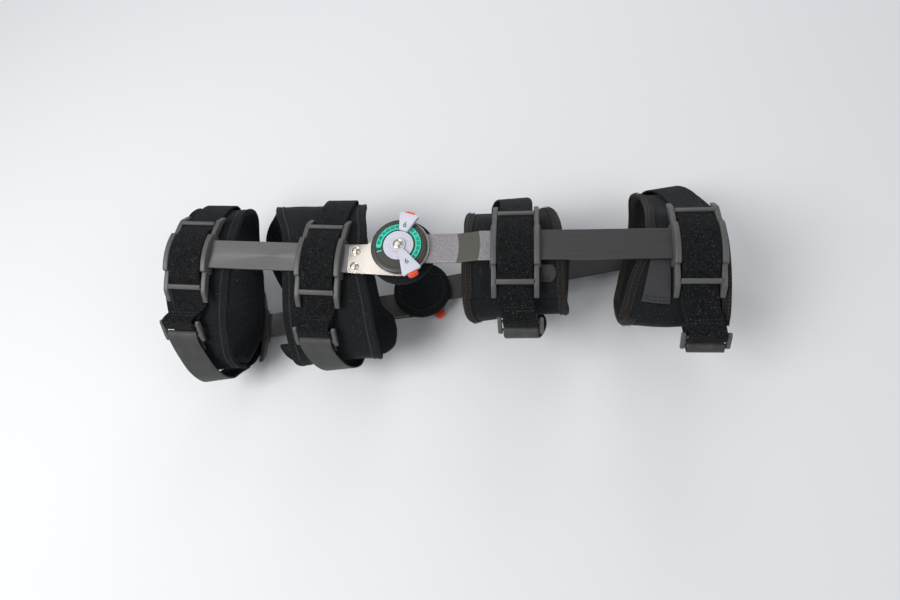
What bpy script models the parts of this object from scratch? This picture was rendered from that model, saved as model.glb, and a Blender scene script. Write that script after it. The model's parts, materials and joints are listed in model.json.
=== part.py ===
"""Hinged knee brace with a range-of-motion dial on each side, lying on its medial side.

Four foam cuffs hold two uprights, each of a thigh bar and a calf bar joined at a dial hinge.
X runs from the thigh to the calf, +Y is the back of the knee and Z is up. The brace lies on
its medial upright, which has turned a little about the knee's axis under the weight above it.
"""

import math

import bmesh
import bpy
from mathutils import Matrix, Vector

# Driving sizes, in metres
BAR_WIDTH = 0.030
BAR_THICKNESS = 0.003
UPRIGHT_GAP = 0.1283
STRAP_WIDTH = 0.033
STRAP_THICKNESS = 0.002
WEBBING_THICKNESS = 0.0016
FOAM_THICKNESS = 0.0045
CLEARANCE = 0.0003
HALF_GAP = UPRIGHT_GAP / 2

# How the brace lies
TWIST = math.radians(10.96)
TWIST_PLATEAU = 0.022

# The two limbs' centre lines on an upright
THIGH_OFFSET = -0.0117
THIGH_TURN = math.radians(-1.98)
THIGH_BEND_X = -0.054
THIGH_END_X = -0.242
THIGH_HINGE_END_X = -0.0205
CALF_BEND_START_X = 0.058
CALF_BEND_END_X = 0.079
CALF_STEP = 0.0055
CALF_END_X = 0.300

# Heights from a bar's inner face outwards, on the hinge
EYE_RADIUS = 0.017
PLATE_LOW = BAR_THICKNESS + CLEARANCE
PLATE_HIGH = PLATE_LOW + 0.0018
COVER_LOW = PLATE_HIGH + CLEARANCE
COVER_HIGH = COVER_LOW + 0.0046
SCALE_LOW = COVER_HIGH + CLEARANCE
SCALE_HIGH = SCALE_LOW + 0.0005
RING_THICKNESS = 0.0013
FIRST_RING_LOW = COVER_HIGH + CLEARANCE
SECOND_RING_LOW = FIRST_RING_LOW + RING_THICKNESS + CLEARANCE
ARM_LOW = SCALE_HIGH + CLEARANCE
PAD_HIGH = -0.0021
PAD_THICKNESS = 0.0105

# The hinge seen from outside
PLATE_RADIUS = 0.0295
COVER_RADIUS = 0.028
HUB_RADIUS = 0.015
BOLT_RADIUS = 0.0042
BOLT_HEAD_RADIUS = 0.0053
SHAFT_HOLE_RADIUS = 0.0045
SCALE_INNER_RADIUS = 0.0168
SCALE_OUTER_RADIUS = 0.0223
SCALE_START = math.radians(180)
SCALE_END = math.radians(-45)
FLEXION_ANGLE = math.radians(73)
EXTENSION_ANGLE = math.radians(-61)
ARM_START = 0.0154
ARM_END = 0.033
ARM_START_HALF = 0.0045
ARM_END_HALF = 0.0098
WINDOW_RADIUS = 0.0025
WINDOW_PLACE = 0.0205
BUTTON_START = 0.0296
BUTTON_END = 0.0360
BUTTON_HALF = 0.0053
BUTTON_LOW = 0.0068
BUTTON_HIGH = 0.0131
POCKET_HALF = 0.0057
POCKET_START = 0.0281
POCKET_HIGH = BUTTON_HIGH + CLEARANCE
BUTTON_TAPER = (0.0012, 0.0025)
BUTTON_BEVEL = 0.0006
INNER_RING_RADIUS = 0.0072
INNER_ARM_START = 0.0062
INNER_ARM_START_HALF = 0.0026
ARM_SLOPE = 0.0012
ROOF_OVERLAP = 0.0004
ROOF_TRIM = 0.0001
ROOF_SETBACK = 0.002
ARM_CORNER = 0.001
INNER_ARM_LIFT = 0.0002
TONGUE_GAP = 0.0008
RING_SIDES = 24
INNER_RING_SIDES = 18
HOLE_SIDES = 16
WINDOW_SIDES = 12
PAD_RADIUS = 0.034
RIVET_RADIUS = 0.0047
RIVET_X = -0.0438
RIVET_YS = (-0.0029, -0.0193)

# Strap clips, which slide on the bars
CLIP_RADIUS = 0.118
CLIP_BASE_LOW = -0.004
CLIP_HALF_LENGTH = 0.0478
CLIP_INNER_HALF_WIDTH = 0.0175
CLIP_RAIL = 0.005
CLIP_CHEEK = 0.007
CLIP_CHEEK_HALF_LENGTH = 0.0206
CLIP_SHOULDER = 0.0178
CLIP_CORE_HALF_LENGTH = 0.0183
CLIP_CORE_SHOULDER = 0.0165
CLIP_FLAT_HALF = 0.0135
CLIP_RAIL_HEIGHT = 0.0076
CLIP_RAIL_OVERLAP = 0.001
CLIP_RAIL_BEND = 0.035
CLIP_RAIL_TAPER = 0.040
CLIP_TIP_CHAMFER = (0.001, 0.0015)
CLIP_TIP_TOP = (0.0015, 0.0045)
CLIP_CORE_EDGE = -0.0006
CLIP_OVERLAP = 0.0003
CLIP_RAIL_TRIM = 0.0001
CROSS_BAR_REACH = 0.001
CLIP_TOP = 0.0098
SLOT_HALF_WIDTH = BAR_WIDTH / 2 + 0.0005
CROSS_BAR_Y = 0.0354
CROSS_BAR_W = -0.0018
CROSS_BAR_SIZE = (0.005, 0.0028)
CROSS_BAR_TILT = math.radians(-38)
DOME_RADIUS = 0.052
STRAP_TOP = 0.0088
CLIP_REST_TOP = CLIP_TOP + CALF_STEP
CLIP_XS = {
    "thigh_upper": -0.2197,
    "thigh_lower": -0.081,
    "calf_upper": 0.1123,
    "calf_lower": 0.2781,
}
SPLAY = math.asin(
    (CLIP_REST_TOP - CLIP_TOP)
    / (THIGH_BEND_X - CLIP_XS["thigh_upper"] + CLIP_INNER_HALF_WIDTH + CLIP_CHEEK)
)

# Cuffs: the foam's inner and outer ends in degrees round the limb, its reach to the front and
# the back of its bar, the strap's and the webbing's reach, where the buckle sits, how far the
# strap leans along the limb at its front and its back, and how far the foam's left and right
# rims stand out beyond its middle there
CUFFS = {
    "thigh_upper": {
        "limb": "thigh", "start": 165, "end": 575, "power": 1.8, "front": 0.071, "back": 0.085,
        "strap_back": 0.0875, "strap_front": 0.0745, "webbing_front": 0.0775, "buckle": 152,
        "lean_front": -0.016, "lean_back": 0.0,
        "back_rims": (0.0, 0.0), "front_rims": (0.0, 0.0),
    },
    "thigh_lower": {
        "limb": "thigh", "start": 165, "end": 575, "power": 1.8, "front": 0.079, "back": 0.092,
        "strap_back": 0.0955, "strap_front": 0.0815, "webbing_front": 0.083, "buckle": 148,
        "lean_front": -0.006, "lean_back": 0.0,
        "back_rims": (-0.004, 0.0), "front_rims": (0.0, 0.0),
    },
    "calf_upper": {
        "limb": "calf", "start": 97, "end": 495, "power": 2.0, "front": 0.062, "back": 0.060,
        "strap_back": 0.074, "strap_front": 0.079, "webbing_front": 0.074, "buckle": 147,
        "lean_front": 0.005, "lean_back": 0.0,
        "back_rims": (0.0, 0.0), "front_rims": (0.0, 0.0),
    },
    "calf_lower": {
        "limb": "calf", "start": 97, "end": 503, "power": 2.0, "front": 0.083, "back": 0.060,
        "strap_back": 0.0635, "strap_front": 0.094, "webbing_front": 0.088, "buckle": 148.5,
        "lean_front": 0.007, "lean_back": 0.012,
        "back_rims": (0.004, 0.0), "front_rims": (-0.006, 0.002),
    },
}
LEAN_START = 0.047
LEAN_REACH = 0.030
# Each cuff's edges along its limb, at angles round the limb from its one end to the other
CUFF_EDGES = {
    "thigh_upper": {
        "turn": (165, 270, 360, 400, 450, 487, 516, 546, 575),
        "left": (-0.250, -0.250, -0.246, -0.246, -0.248, -0.250, -0.250, -0.248, -0.246),
        "right": (-0.205, -0.199, -0.184, -0.186, -0.177, -0.181, -0.190, -0.203, -0.208),
    },
    "thigh_lower": {
        "turn": (165, 194, 224, 253, 270, 311, 341, 370, 399, 429, 458, 487, 516, 546, 575),
        "left": (
            -0.138, -0.138, -0.140, -0.145, -0.150, -0.176, -0.178, -0.162,
            -0.152, -0.130, -0.122, -0.121, -0.123, -0.132, -0.133,
        ),
        "right": (
            -0.045, -0.040, -0.032, -0.036, -0.050, -0.056, -0.056, -0.055,
            -0.052, -0.040, -0.037, -0.0285, -0.0275, -0.0375, -0.048,
        ),
    },
    "calf_upper": {
        "turn": (97, 180, 270, 360, 450, 495),
        "left": (0.060, 0.060, 0.060, 0.062, 0.062, 0.063),
        "right": (0.163, 0.160, 0.158, 0.152, 0.158, 0.160),
    },
    "calf_lower": {
        "turn": (97, 184, 213, 242, 271, 300, 329, 358, 387, 416, 445, 474, 503),
        "left": (
            0.236, 0.208, 0.209, 0.224, 0.240, 0.252, 0.254,
            0.252, 0.243, 0.2375, 0.233, 0.219, 0.210,
        ),
        "right": (
            0.306, 0.306, 0.306, 0.306, 0.306, 0.306, 0.306,
            0.306, 0.306, 0.306, 0.306, 0.306, 0.306,
        ),
    },
}
# Hook tabs by the calf cuffs' free ends: which of the foam's sections, and edges along it
HOOK_TABS = {
    "calf_upper": {"sections": (25, 26), "left": (0.136, 0.136), "right": (0.150, 0.1475)},
    "calf_lower": {
        "sections": (25, 26, 27), "left": (0.236, 0.232, 0.228), "right": (0.2535, 0.2535, 0.2535),
    },
}
TAB_THICKNESS = 0.001
CUFF_STEP = 14.6
CUFF_ROWS = (0.0, 0.12, 0.88, 1.0)
RIM_LIFT = 0.002
RIM_START = 0.040
RIM_REACH = 0.020
OVERLAP_GAP = 0.0006
# Degrees after the overlap where the layers start to meet, and over which they do
INSET_DELAY = 6
INSET_REACH = 60

# Buckles at the front, where the webbing meets the strap
BUCKLE_BAR_PLACE = 0.005
BUCKLE_BAR_HALF = 0.0017
BUCKLE_THICKNESS = 0.0032
BUCKLE_SIDE = 0.004
BUCKLE_SIDE_HALF_LENGTH = 0.009
BUCKLE_CORNER = 0.002
BUCKLE_PLAY = 0.0014
LOOP_RADIUS = 0.0027
TAIL_LENGTH = 0.012
LOOP_RUN = 0.0055
BAND_GAP = 0.0006
# Distances to the front or back of a bar where a band leaves its clip, and where it ends
BAND_LEAVES_CLIP = 0.047
OVER_CLIP_STEPS = (0.008, 0.015, 0.0205, 0.0265, 0.033, 0.038)
STRAP_END = 0.060
WEBBING_END = 0.052
# Degrees from a buckle to its strap's and its webbing's runs, and over which the webbing slackens
STRAP_RUN_START = 20
WEBBING_RUN_START = 17
SLACK_REACH = 40
# Steps in degrees between a band's points: at the front, round the back, at its end and for webbing
FRONT_STEP = 14
BACK_STEP = 13
END_STEP = 7
WEBBING_STEP = 12

MATERIALS = {
    "thigh_bar": ((0.11, 0.11, 0.11), 0.42, 0.9),
    "calf_bar": ((0.10, 0.098, 0.10), 0.45, 0.85),
    "nickel": ((0.72, 0.69, 0.62), 0.22, 1.0),
    "cover_plastic": ((0.055, 0.055, 0.052), 0.4, 0.0),
    "scale_plastic": ((0.05, 0.60, 0.44), 0.5, 0.0),
    "pointer_plastic": ((0.82, 0.82, 0.88), 0.4, 0.0),
    "button_plastic": ((0.85, 0.07, 0.01), 0.4, 0.0),
    "clip_plastic": ((0.07, 0.07, 0.07), 0.5, 0.0),
    "foam_fabric": ((0.012, 0.013, 0.014), 0.9, 0.0),
    "strap_fabric": ((0.010, 0.010, 0.011), 0.95, 0.0),
    "webbing_fabric": ((0.05, 0.05, 0.05), 0.7, 0.0),
    "hook_fabric": ((0.045, 0.045, 0.05), 0.8, 0.0),
}


def clear_scene():
    """Remove every object the file opened with."""
    for old in list(bpy.data.objects):
        bpy.data.objects.remove(old, do_unlink=True)


def make_collection(name):
    """Return a new collection, linked to the scene."""
    collection = bpy.data.collections.new(name)
    bpy.context.scene.collection.children.link(collection)
    return collection


def make_materials():
    """Return one Principled material for each finish."""
    made = {}
    for name, (colour, roughness, metallic) in MATERIALS.items():
        finish = bpy.data.materials.new(name)
        finish.use_nodes = True
        shader = finish.node_tree.nodes["Principled BSDF"]
        shader.inputs["Base Color"].default_value = (*colour, 1.0)
        shader.inputs["Roughness"].default_value = roughness
        shader.inputs["Metallic"].default_value = metallic
        finish.diffuse_color = (*colour, 1.0)
        made[name] = finish
    return made


class Workshop:
    """The collections, materials and parents that every piece is made with."""

    def __init__(self):
        clear_scene()
        self.pieces = make_collection("hinged_knee_brace")
        self.patterns = make_collection("patterns")
        self.materials = make_materials()

    def empty(self, name, matrix, parent=None):
        """Add an empty that carries pieces."""
        holder = bpy.data.objects.new(name, None)
        self.patterns.objects.link(holder)
        holder.parent = parent
        holder.matrix_local = matrix
        return holder

    def piece(self, name, mesh, finish, parent, matrix=Matrix()):
        """Add one sub-part, placed under its parent."""
        if not mesh.materials:
            mesh.materials.append(self.materials[finish])
        made = bpy.data.objects.new(name, mesh)
        self.pieces.objects.link(made)
        made.parent = parent
        made.matrix_local = matrix
        return made

    def evaluated_mesh(self, source):
        """Return an object's mesh with its modifiers applied."""
        bpy.context.view_layer.update()
        graph = bpy.context.evaluated_depsgraph_get()
        return bpy.data.meshes.new_from_object(source.evaluated_get(graph), depsgraph=graph)

    def temporary(self, name, data):
        """Add a pattern object that isn't a piece."""
        made = bpy.data.objects.new(name, data)
        made.hide_render = True
        made.display_type = "WIRE"
        self.patterns.objects.link(made)
        return made

    def flat_mesh(self, name, outline, holes, low, high):
        """Return a plate between two heights, cut from an outline with holes."""
        curve = bpy.data.curves.new(name, "CURVE")
        curve.dimensions = "2D"
        curve.fill_mode = "BOTH"
        curve.extrude = (high - low) / 2
        for points in [outline, *holes]:
            spline = curve.splines.new("POLY")
            spline.points.add(len(points) - 1)
            for place, (x, y) in zip(spline.points, points):
                place.co = (x, y, 0, 1)
            spline.use_cyclic_u = True
        pattern = self.temporary(name, curve)
        mesh = self.evaluated_mesh(pattern)
        bpy.data.objects.remove(pattern, do_unlink=True)
        shape = bmesh.new()
        shape.from_mesh(mesh)
        bmesh.ops.remove_doubles(shape, verts=shape.verts, dist=0.00001)
        bmesh.ops.recalc_face_normals(shape, faces=shape.faces)
        bmesh.ops.translate(shape, verts=shape.verts, vec=(0, 0, (high + low) / 2))
        shape.to_mesh(mesh)
        shape.free()
        mesh.materials.clear()
        return mesh

    def turned_mesh(self, name, profile, steps, closed):
        """Return a solid turned about Z from a profile of (radius, height) points."""
        mesh = bpy.data.meshes.new(name)
        points = [(radius, 0, height) for radius, height in profile]
        edges = [(index, index + 1) for index in range(len(points) - 1)]
        if closed:
            edges.append((len(points) - 1, 0))
        mesh.from_pydata(points, edges, [])
        pattern = self.temporary(name, mesh)
        screw = pattern.modifiers.new("turn", "SCREW")
        screw.steps = steps
        screw.render_steps = steps
        screw.use_merge_vertices = True
        screw.merge_threshold = 0.00001
        turned = self.evaluated_mesh(pattern)
        bpy.data.objects.remove(pattern, do_unlink=True)
        turned.shade_smooth()
        turned.set_sharp_from_angle(angle=math.radians(35))
        return turned

    def united_mesh(self, name, meshes):
        """Return the union of several closed meshes as one closed mesh."""
        body = self.temporary(name, meshes[0])
        added = []
        for index, mesh in enumerate(meshes[1:]):
            tool = self.temporary(f"{name}_{index}", mesh)
            union = body.modifiers.new("join", "BOOLEAN")
            union.operation = "UNION"
            union.object = tool
            added.append(tool)
        mesh = self.evaluated_mesh(body)
        for used in [body, *added]:
            bpy.data.objects.remove(used, do_unlink=True)
        shape = bmesh.new()
        shape.from_mesh(mesh)
        bmesh.ops.remove_doubles(shape, verts=shape.verts, dist=0.00002)
        bmesh.ops.dissolve_limit(
            shape, angle_limit=math.radians(0.5), verts=shape.verts, edges=shape.edges
        )
        bmesh.ops.triangulate(shape, faces=shape.faces)
        shape.to_mesh(mesh)
        shape.free()
        return mesh

    def sheet(self, name, rows, thickness, finish, parent, matrix=Matrix()):
        """Add an open surface through rows of points, thickened away from its outer side."""
        width = len(rows[0])
        points = [place for row in rows for place in row]
        faces = [
            (
                row * width + column,
                row * width + column + 1,
                (row + 1) * width + column + 1,
                (row + 1) * width + column,
            )
            for row in range(len(rows) - 1)
            for column in range(width - 1)
        ]
        mesh = bpy.data.meshes.new(name)
        mesh.from_pydata(points, [], faces)
        mesh.shade_smooth()
        mesh.set_sharp_from_angle(angle=math.radians(50))
        made = self.piece(name, mesh, finish, parent, matrix)
        wall = made.modifiers.new("wall", "SOLIDIFY")
        wall.thickness = thickness
        wall.offset = -1
        wall.use_even_offset = True
        return made


def arc(centre, radius, start, end, count):
    """Return points on an arc, both ends included."""
    angles = [start + (end - start) * step / (count - 1) for step in range(count)]
    return [
        (centre[0] + radius * math.cos(angle), centre[1] + radius * math.sin(angle))
        for angle in angles
    ]


def circle(centre, radius, count):
    """Return a closed circle's points."""
    return arc(centre, radius, 0, 2 * math.pi, count + 1)[:-1]


def smooth_step(value):
    """Ease from 0 to 1."""
    clamped = min(max(value, 0.0), 1.0)
    return clamped * clamped * (3 - 2 * clamped)


def read_table(places, values, place):
    """Read a column of a table at a place between its rows, along one smooth curve."""
    last = len(places) - 1
    row = next((index for index in range(last) if place <= places[index + 1]), last - 1)
    width = places[row + 1] - places[row]
    share = min(max((place - places[row]) / width, 0.0), 1.0)

    def climb(index):
        before = max(index - 1, 0)
        after = min(index + 1, last)
        return (values[after] - values[before]) / (places[after] - places[before]) * width

    eased = smooth_step(share)
    between = values[row] + (values[row + 1] - values[row]) * eased
    leaving = climb(row) * share * (1 - share) ** 2
    arriving = climb(row + 1) * share ** 2 * (share - 1)
    return between + leaving + arriving


def limb_frame(limb, hand):
    """Return where a limb's bar lies on an upright seen from outside."""
    if limb == "calf":
        return Matrix()
    place = Matrix.Translation((0, hand * THIGH_OFFSET, 0))
    return place @ Matrix.Rotation(hand * THIGH_TURN, 4, "Z")


def splay_frame():
    """Return the turn outwards of the thigh bar beyond its bend."""
    place = Matrix.Translation((THIGH_BEND_X, 0, 0))
    return place @ Matrix.Rotation(SPLAY, 4, "Y") @ place.inverted()


def clip_frame(cuff, hand):
    """Return where a strap clip sits on an upright."""
    limb = CUFFS[cuff]["limb"]
    place = Matrix.Translation((CLIP_XS[cuff], 0, 0))
    if limb == "calf":
        return Matrix.Translation((0, 0, CALF_STEP)) @ place
    return limb_frame(limb, hand) @ splay_frame() @ place


def calf_lift(along):
    """Return how far the calf bar has stepped outwards at a place along it."""
    share = (along - CALF_BEND_START_X) / (CALF_BEND_END_X - CALF_BEND_START_X)
    return CALF_STEP * min(max(share, 0.0), 1.0)


def lie(limb, along, across, height):
    """Take a soft part's point from its straight limb to where it lies.

    The height is from the middle plane between the uprights.
    """
    outward = max(-1.0, min(1.0, height / HALF_GAP))
    if limb == "thigh":
        point = limb_frame("thigh", 1) @ Vector((along, across, 0))
        height += outward * max(0.0, THIGH_BEND_X - along) * math.tan(SPLAY)
    else:
        point = Vector((along, across, 0))
        height += outward * calf_lift(along)
    rise = (height + HALF_GAP - TWIST_PLATEAU) / (UPRIGHT_GAP - 2 * TWIST_PLATEAU)
    turn = Matrix.Rotation(TWIST * (1 - smooth_step(rise)), 4, "Z")
    place = turn @ point
    return (place.x, place.y, height)


def ring_point(cuff, degrees, front, back, lift):
    """Return a point round the limb, and the direction away from the limb there."""
    power = CUFFS[cuff]["power"]
    half_height = HALF_GAP + CLIP_BASE_LOW - CLEARANCE

    def on_ring(angle):
        side = math.cos(angle)
        rise = math.sin(angle)
        reach = back if side > 0 else front
        across = math.copysign(abs(side) ** (2 / power), side) * reach
        height = math.copysign(abs(rise) ** (2 / power), rise) * half_height
        return Vector((across, height))

    angle = math.radians(degrees)
    nudge = math.radians(2)
    tangent = on_ring(angle + nudge) - on_ring(angle - nudge)
    outward = Vector((tangent.y, -tangent.x)).normalized()
    return on_ring(angle) + outward * lift, outward


def make_bars(shop, side, parent, hand):
    """The thigh bar and the calf bar of one upright."""
    half = BAR_WIDTH / 2
    thigh_rise = (THIGH_BEND_X - THIGH_END_X) * math.tan(SPLAY)
    stations = [(THIGH_END_X, thigh_rise), (THIGH_BEND_X, 0.0), (THIGH_HINGE_END_X, 0.0)]
    rows = [
        [(x, -half, lift + BAR_THICKNESS), (x, half, lift + BAR_THICKNESS)]
        for x, lift in reversed(stations)
    ]
    bar = shop.sheet(
        f"{side}_thigh_bar", rows, BAR_THICKNESS, "thigh_bar", parent, limb_frame("thigh", hand)
    )
    add_bevel(bar, 0.0006, 2)

    eye = arc((0, 0), EYE_RADIUS, math.radians(118), math.radians(242), 11)
    end = [(CALF_END_X - 0.004, -half), (CALF_END_X, -half + 0.004)]
    end += [(x, -y) for x, y in reversed(end)]
    outline = [*eye, (-EYE_RADIUS / 4, -half), *end, (-EYE_RADIUS / 4, half)]
    mesh = shop.flat_mesh(
        f"{side}_calf_bar", outline, [circle((0, 0), SHAFT_HOLE_RADIUS, 16)], 0, BAR_THICKNESS
    )
    shape = bmesh.new()
    shape.from_mesh(mesh)
    for x in (CALF_BEND_START_X, CALF_BEND_END_X):
        geometry = [*shape.verts, *shape.edges, *shape.faces]
        bmesh.ops.bisect_plane(shape, geom=geometry, plane_co=(x, 0, 0), plane_no=(1, 0, 0))
    for vertex in shape.verts:
        vertex.co.z += calf_lift(vertex.co.x)
    shape.to_mesh(mesh)
    shape.free()
    shop.piece(f"{side}_calf_bar", mesh, "calf_bar", parent)


def add_bevel(made, width, segments):
    """Round a piece's sharp edges."""
    bevel = made.modifiers.new("edges", "BEVEL")
    bevel.width = width
    bevel.segments = segments
    bevel.limit_method = "ANGLE"
    bevel.angle_limit = math.radians(40)


def make_hinge_plate(shop, side, parent, hand):
    """The bright plate riveted to the thigh bar, with a disc round the knee's axis."""
    top = 0.0035
    left = -0.0508
    corner = 0.003
    bottom = -0.0262
    outline = [
        *arc((left + corner, top - corner), corner, math.radians(90), math.radians(180), 4),
        *arc((left + corner, bottom + corner), corner, math.radians(180), math.radians(250), 4),
        *arc((0, 0), PLATE_RADIUS, math.radians(-97), math.radians(158), 30),
        (-0.0302, 0.0062),
        (-0.0330, 0.0038),
    ]
    outline = [(x, hand * y) for x, y in outline]
    hole = circle((0, 0), SHAFT_HOLE_RADIUS, HOLE_SIDES)
    mesh = shop.flat_mesh(f"{side}_hinge_plate", outline, [hole], PLATE_LOW, PLATE_HIGH)
    shop.piece(f"{side}_hinge_plate", mesh, "nickel", parent)
    rivet_low = PLATE_HIGH + CLEARANCE
    profile = [
        (0, rivet_low + 0.0022),
        (0.0022, rivet_low + 0.0020),
        (0.0038, rivet_low + 0.0013),
        (RIVET_RADIUS, rivet_low),
        (0, rivet_low),
    ]
    for place, y in zip(("upper", "lower"), RIVET_YS):
        name = f"{side}_rivet_{place}"
        mesh = shop.turned_mesh(name, profile, 12, False)
        shop.piece(name, mesh, "nickel", parent, Matrix.Translation((RIVET_X, hand * y, 0)))


def make_dial(shop, side, parent, hand):
    """The dial cover and its scale."""
    profile = [
        (COVER_RADIUS - 0.001, COVER_HIGH),
        (COVER_RADIUS, COVER_HIGH - 0.001),
        (COVER_RADIUS, COVER_LOW),
        (SHAFT_HOLE_RADIUS, COVER_LOW),
        (SHAFT_HOLE_RADIUS, COVER_HIGH),
    ]
    mesh = shop.turned_mesh(f"{side}_dial_cover", profile, 32, True)
    shop.piece(f"{side}_dial_cover", mesh, "cover_plastic", parent)

    middle = (SCALE_INNER_RADIUS + SCALE_OUTER_RADIUS) / 2
    cap = (SCALE_OUTER_RADIUS - SCALE_INNER_RADIUS) / 2
    cap_middle = (middle * math.cos(SCALE_START), middle * math.sin(SCALE_START))
    outline = [
        *arc((0, 0), SCALE_OUTER_RADIUS, SCALE_END, SCALE_START, 18),
        *arc(cap_middle, cap, math.radians(180), math.radians(360), 6)[1:-1],
        *arc((0, 0), SCALE_INNER_RADIUS, SCALE_START, SCALE_END, 18),
    ]
    outline = [(x, hand * y) for x, y in outline]
    mesh = shop.flat_mesh(f"{side}_dial_scale", outline, [], SCALE_LOW, SCALE_HIGH)
    shop.piece(f"{side}_dial_scale", mesh, "scale_plastic", parent)


def slope_top(mesh, level, start, end):
    """Lower a pointer's top, all that is above a level, towards its inner end."""
    for vertex in mesh.vertices:
        if vertex.co.z > level:
            share = min(max((end - vertex.co.x) / (end - start), 0.0), 1.0)
            vertex.co.z -= ARM_SLOPE * share


def make_pointer(shop, name, parent, angle, hand):
    """One stop pointer: a ring on the bolt, a wedge-shaped arm with a window, and a button."""
    outer = name.endswith("flexion_pointer")
    hole = circle((0, 0), SHAFT_HOLE_RADIUS, HOLE_SIDES)
    if outer:
        tongue_half = ARM_START_HALF - CLEARANCE
        spread = math.asin(tongue_half / HUB_RADIUS)
        ring = [
            *arc((0, 0), HUB_RADIUS, spread, 2 * math.pi - spread, RING_SIDES),
            (SCALE_INNER_RADIUS - TONGUE_GAP, -tongue_half),
            (SCALE_INNER_RADIUS - TONGUE_GAP, tongue_half),
        ]
        ring_low, arm_low = FIRST_RING_LOW, ARM_LOW
        start, start_half = ARM_START, ARM_START_HALF
    else:
        ring = circle((0, 0), INNER_RING_RADIUS, INNER_RING_SIDES)
        ring_low, arm_low = SECOND_RING_LOW, SECOND_RING_LOW + INNER_ARM_LIFT
        start, start_half = INNER_ARM_START, INNER_ARM_START_HALF
    ring_mesh = shop.flat_mesh(name, ring, [hole], ring_low, ring_low + RING_THICKNESS)
    roof_start = POCKET_START - ROOF_SETBACK
    corner = ARM_END - ARM_CORNER
    rise = (ARM_END_HALF - start_half) / (corner - start)
    roof_half = start_half + rise * (roof_start - start)

    def arm(label, notch, trim, low, high):
        near = [
            (start + trim, -start_half + trim),
            (roof_start, -roof_half + trim),
            (corner - trim, -ARM_END_HALF + trim),
            (ARM_END - trim, -ARM_END_HALF + ARM_CORNER + trim),
        ]
        far = [(x, -y) for x, y in reversed(near)]
        window = circle((WINDOW_PLACE, 0), WINDOW_RADIUS + trim, WINDOW_SIDES)
        return shop.flat_mesh(f"{name}_{label}", [*near, *notch, *far], [window], low, high)

    pocket = [(ARM_END, -POCKET_HALF), (POCKET_START, -POCKET_HALF)]
    pocket += [(x, -y) for x, y in reversed(pocket)]
    lower = arm("arm", pocket, 0.0, arm_low, POCKET_HIGH + ROOF_OVERLAP)
    upper = arm("roof", [], ROOF_TRIM, POCKET_HIGH, CLIP_REST_TOP)
    slope_top(upper, (POCKET_HIGH + CLIP_REST_TOP) / 2, start, roof_start)
    mesh = shop.united_mesh(name, [ring_mesh, lower, upper])
    turn = Matrix.Rotation(hand * angle, 4, "Z")
    pointer = shop.piece(name, mesh, "pointer_plastic", parent, turn)

    outline = [
        (BUTTON_START, -BUTTON_HALF),
        (BUTTON_END - BUTTON_TAPER[0], -BUTTON_HALF),
        (BUTTON_END, -BUTTON_HALF + BUTTON_TAPER[1]),
    ]
    outline += [(x, -y) for x, y in reversed(outline)]
    button_mesh = shop.flat_mesh(f"{name}_button", outline, [], BUTTON_LOW, BUTTON_HIGH)
    button = shop.piece(f"{name}_button", button_mesh, "button_plastic", pointer)
    add_bevel(button, BUTTON_BEVEL, 1)


def make_hinge(shop, side, parent, hand):
    """Everything stacked on the knee's axis on one upright."""
    make_hinge_plate(shop, side, parent, hand)
    make_dial(shop, side, parent, hand)
    make_pointer(shop, f"{side}_flexion_pointer", parent, FLEXION_ANGLE, hand)
    make_pointer(shop, f"{side}_extension_pointer", parent, EXTENSION_ANGLE, hand)
    head_low = SECOND_RING_LOW + RING_THICKNESS + CLEARANCE
    foot_low = PAD_HIGH + CLEARANCE
    profile = [
        (0, CLIP_REST_TOP),
        (0.0030, CLIP_REST_TOP - 0.0003),
        (BOLT_HEAD_RADIUS - 0.0003, head_low + 0.0008),
        (BOLT_HEAD_RADIUS, head_low),
        (BOLT_RADIUS, head_low),
        (BOLT_RADIUS, -CLEARANCE),
        (0.006, -CLEARANCE),
        (0.006, foot_low),
        (0, foot_low),
    ]
    mesh = shop.turned_mesh(f"{side}_hinge_bolt", profile, 16, False)
    shop.piece(f"{side}_hinge_bolt", mesh, "nickel", parent)

    low = PAD_HIGH - PAD_THICKNESS
    profile = [
        (0, PAD_HIGH),
        (PAD_RADIUS - 0.004, PAD_HIGH),
        (PAD_RADIUS, PAD_HIGH - 0.0035),
        (PAD_RADIUS, low + 0.0035),
        (PAD_RADIUS - 0.005, low),
        (0, low),
    ]
    mesh = shop.turned_mesh(f"{side}_hinge_pad", profile, 24, False)
    shop.piece(f"{side}_hinge_pad", mesh, "foam_fabric", parent)


def clip_underside(y):
    """Return the clip's curved underside at a distance from the bar's middle."""
    return CLIP_BASE_LOW - CLIP_RADIUS + math.sqrt(CLIP_RADIUS ** 2 - y ** 2)


def dome_height(y, top):
    """Return the height of the domed middle at a distance from the bar's middle."""
    middle = STRAP_TOP - DOME_RADIUS
    radius = top - middle
    return middle + math.sqrt(radius ** 2 - y ** 2)


def extruded_across(mesh, low, high):
    """Stand a flat mesh drawn in (y, w) up, so it runs along X between two places."""
    turn = Matrix(((0, 0, 1, 0), (1, 0, 0, 0), (0, 1, 0, 0), (0, 0, 0, 1)))
    mesh.transform(turn)
    mesh.transform(Matrix.Translation(((low + high) / 2, 0, 0)))
    return mesh


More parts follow.
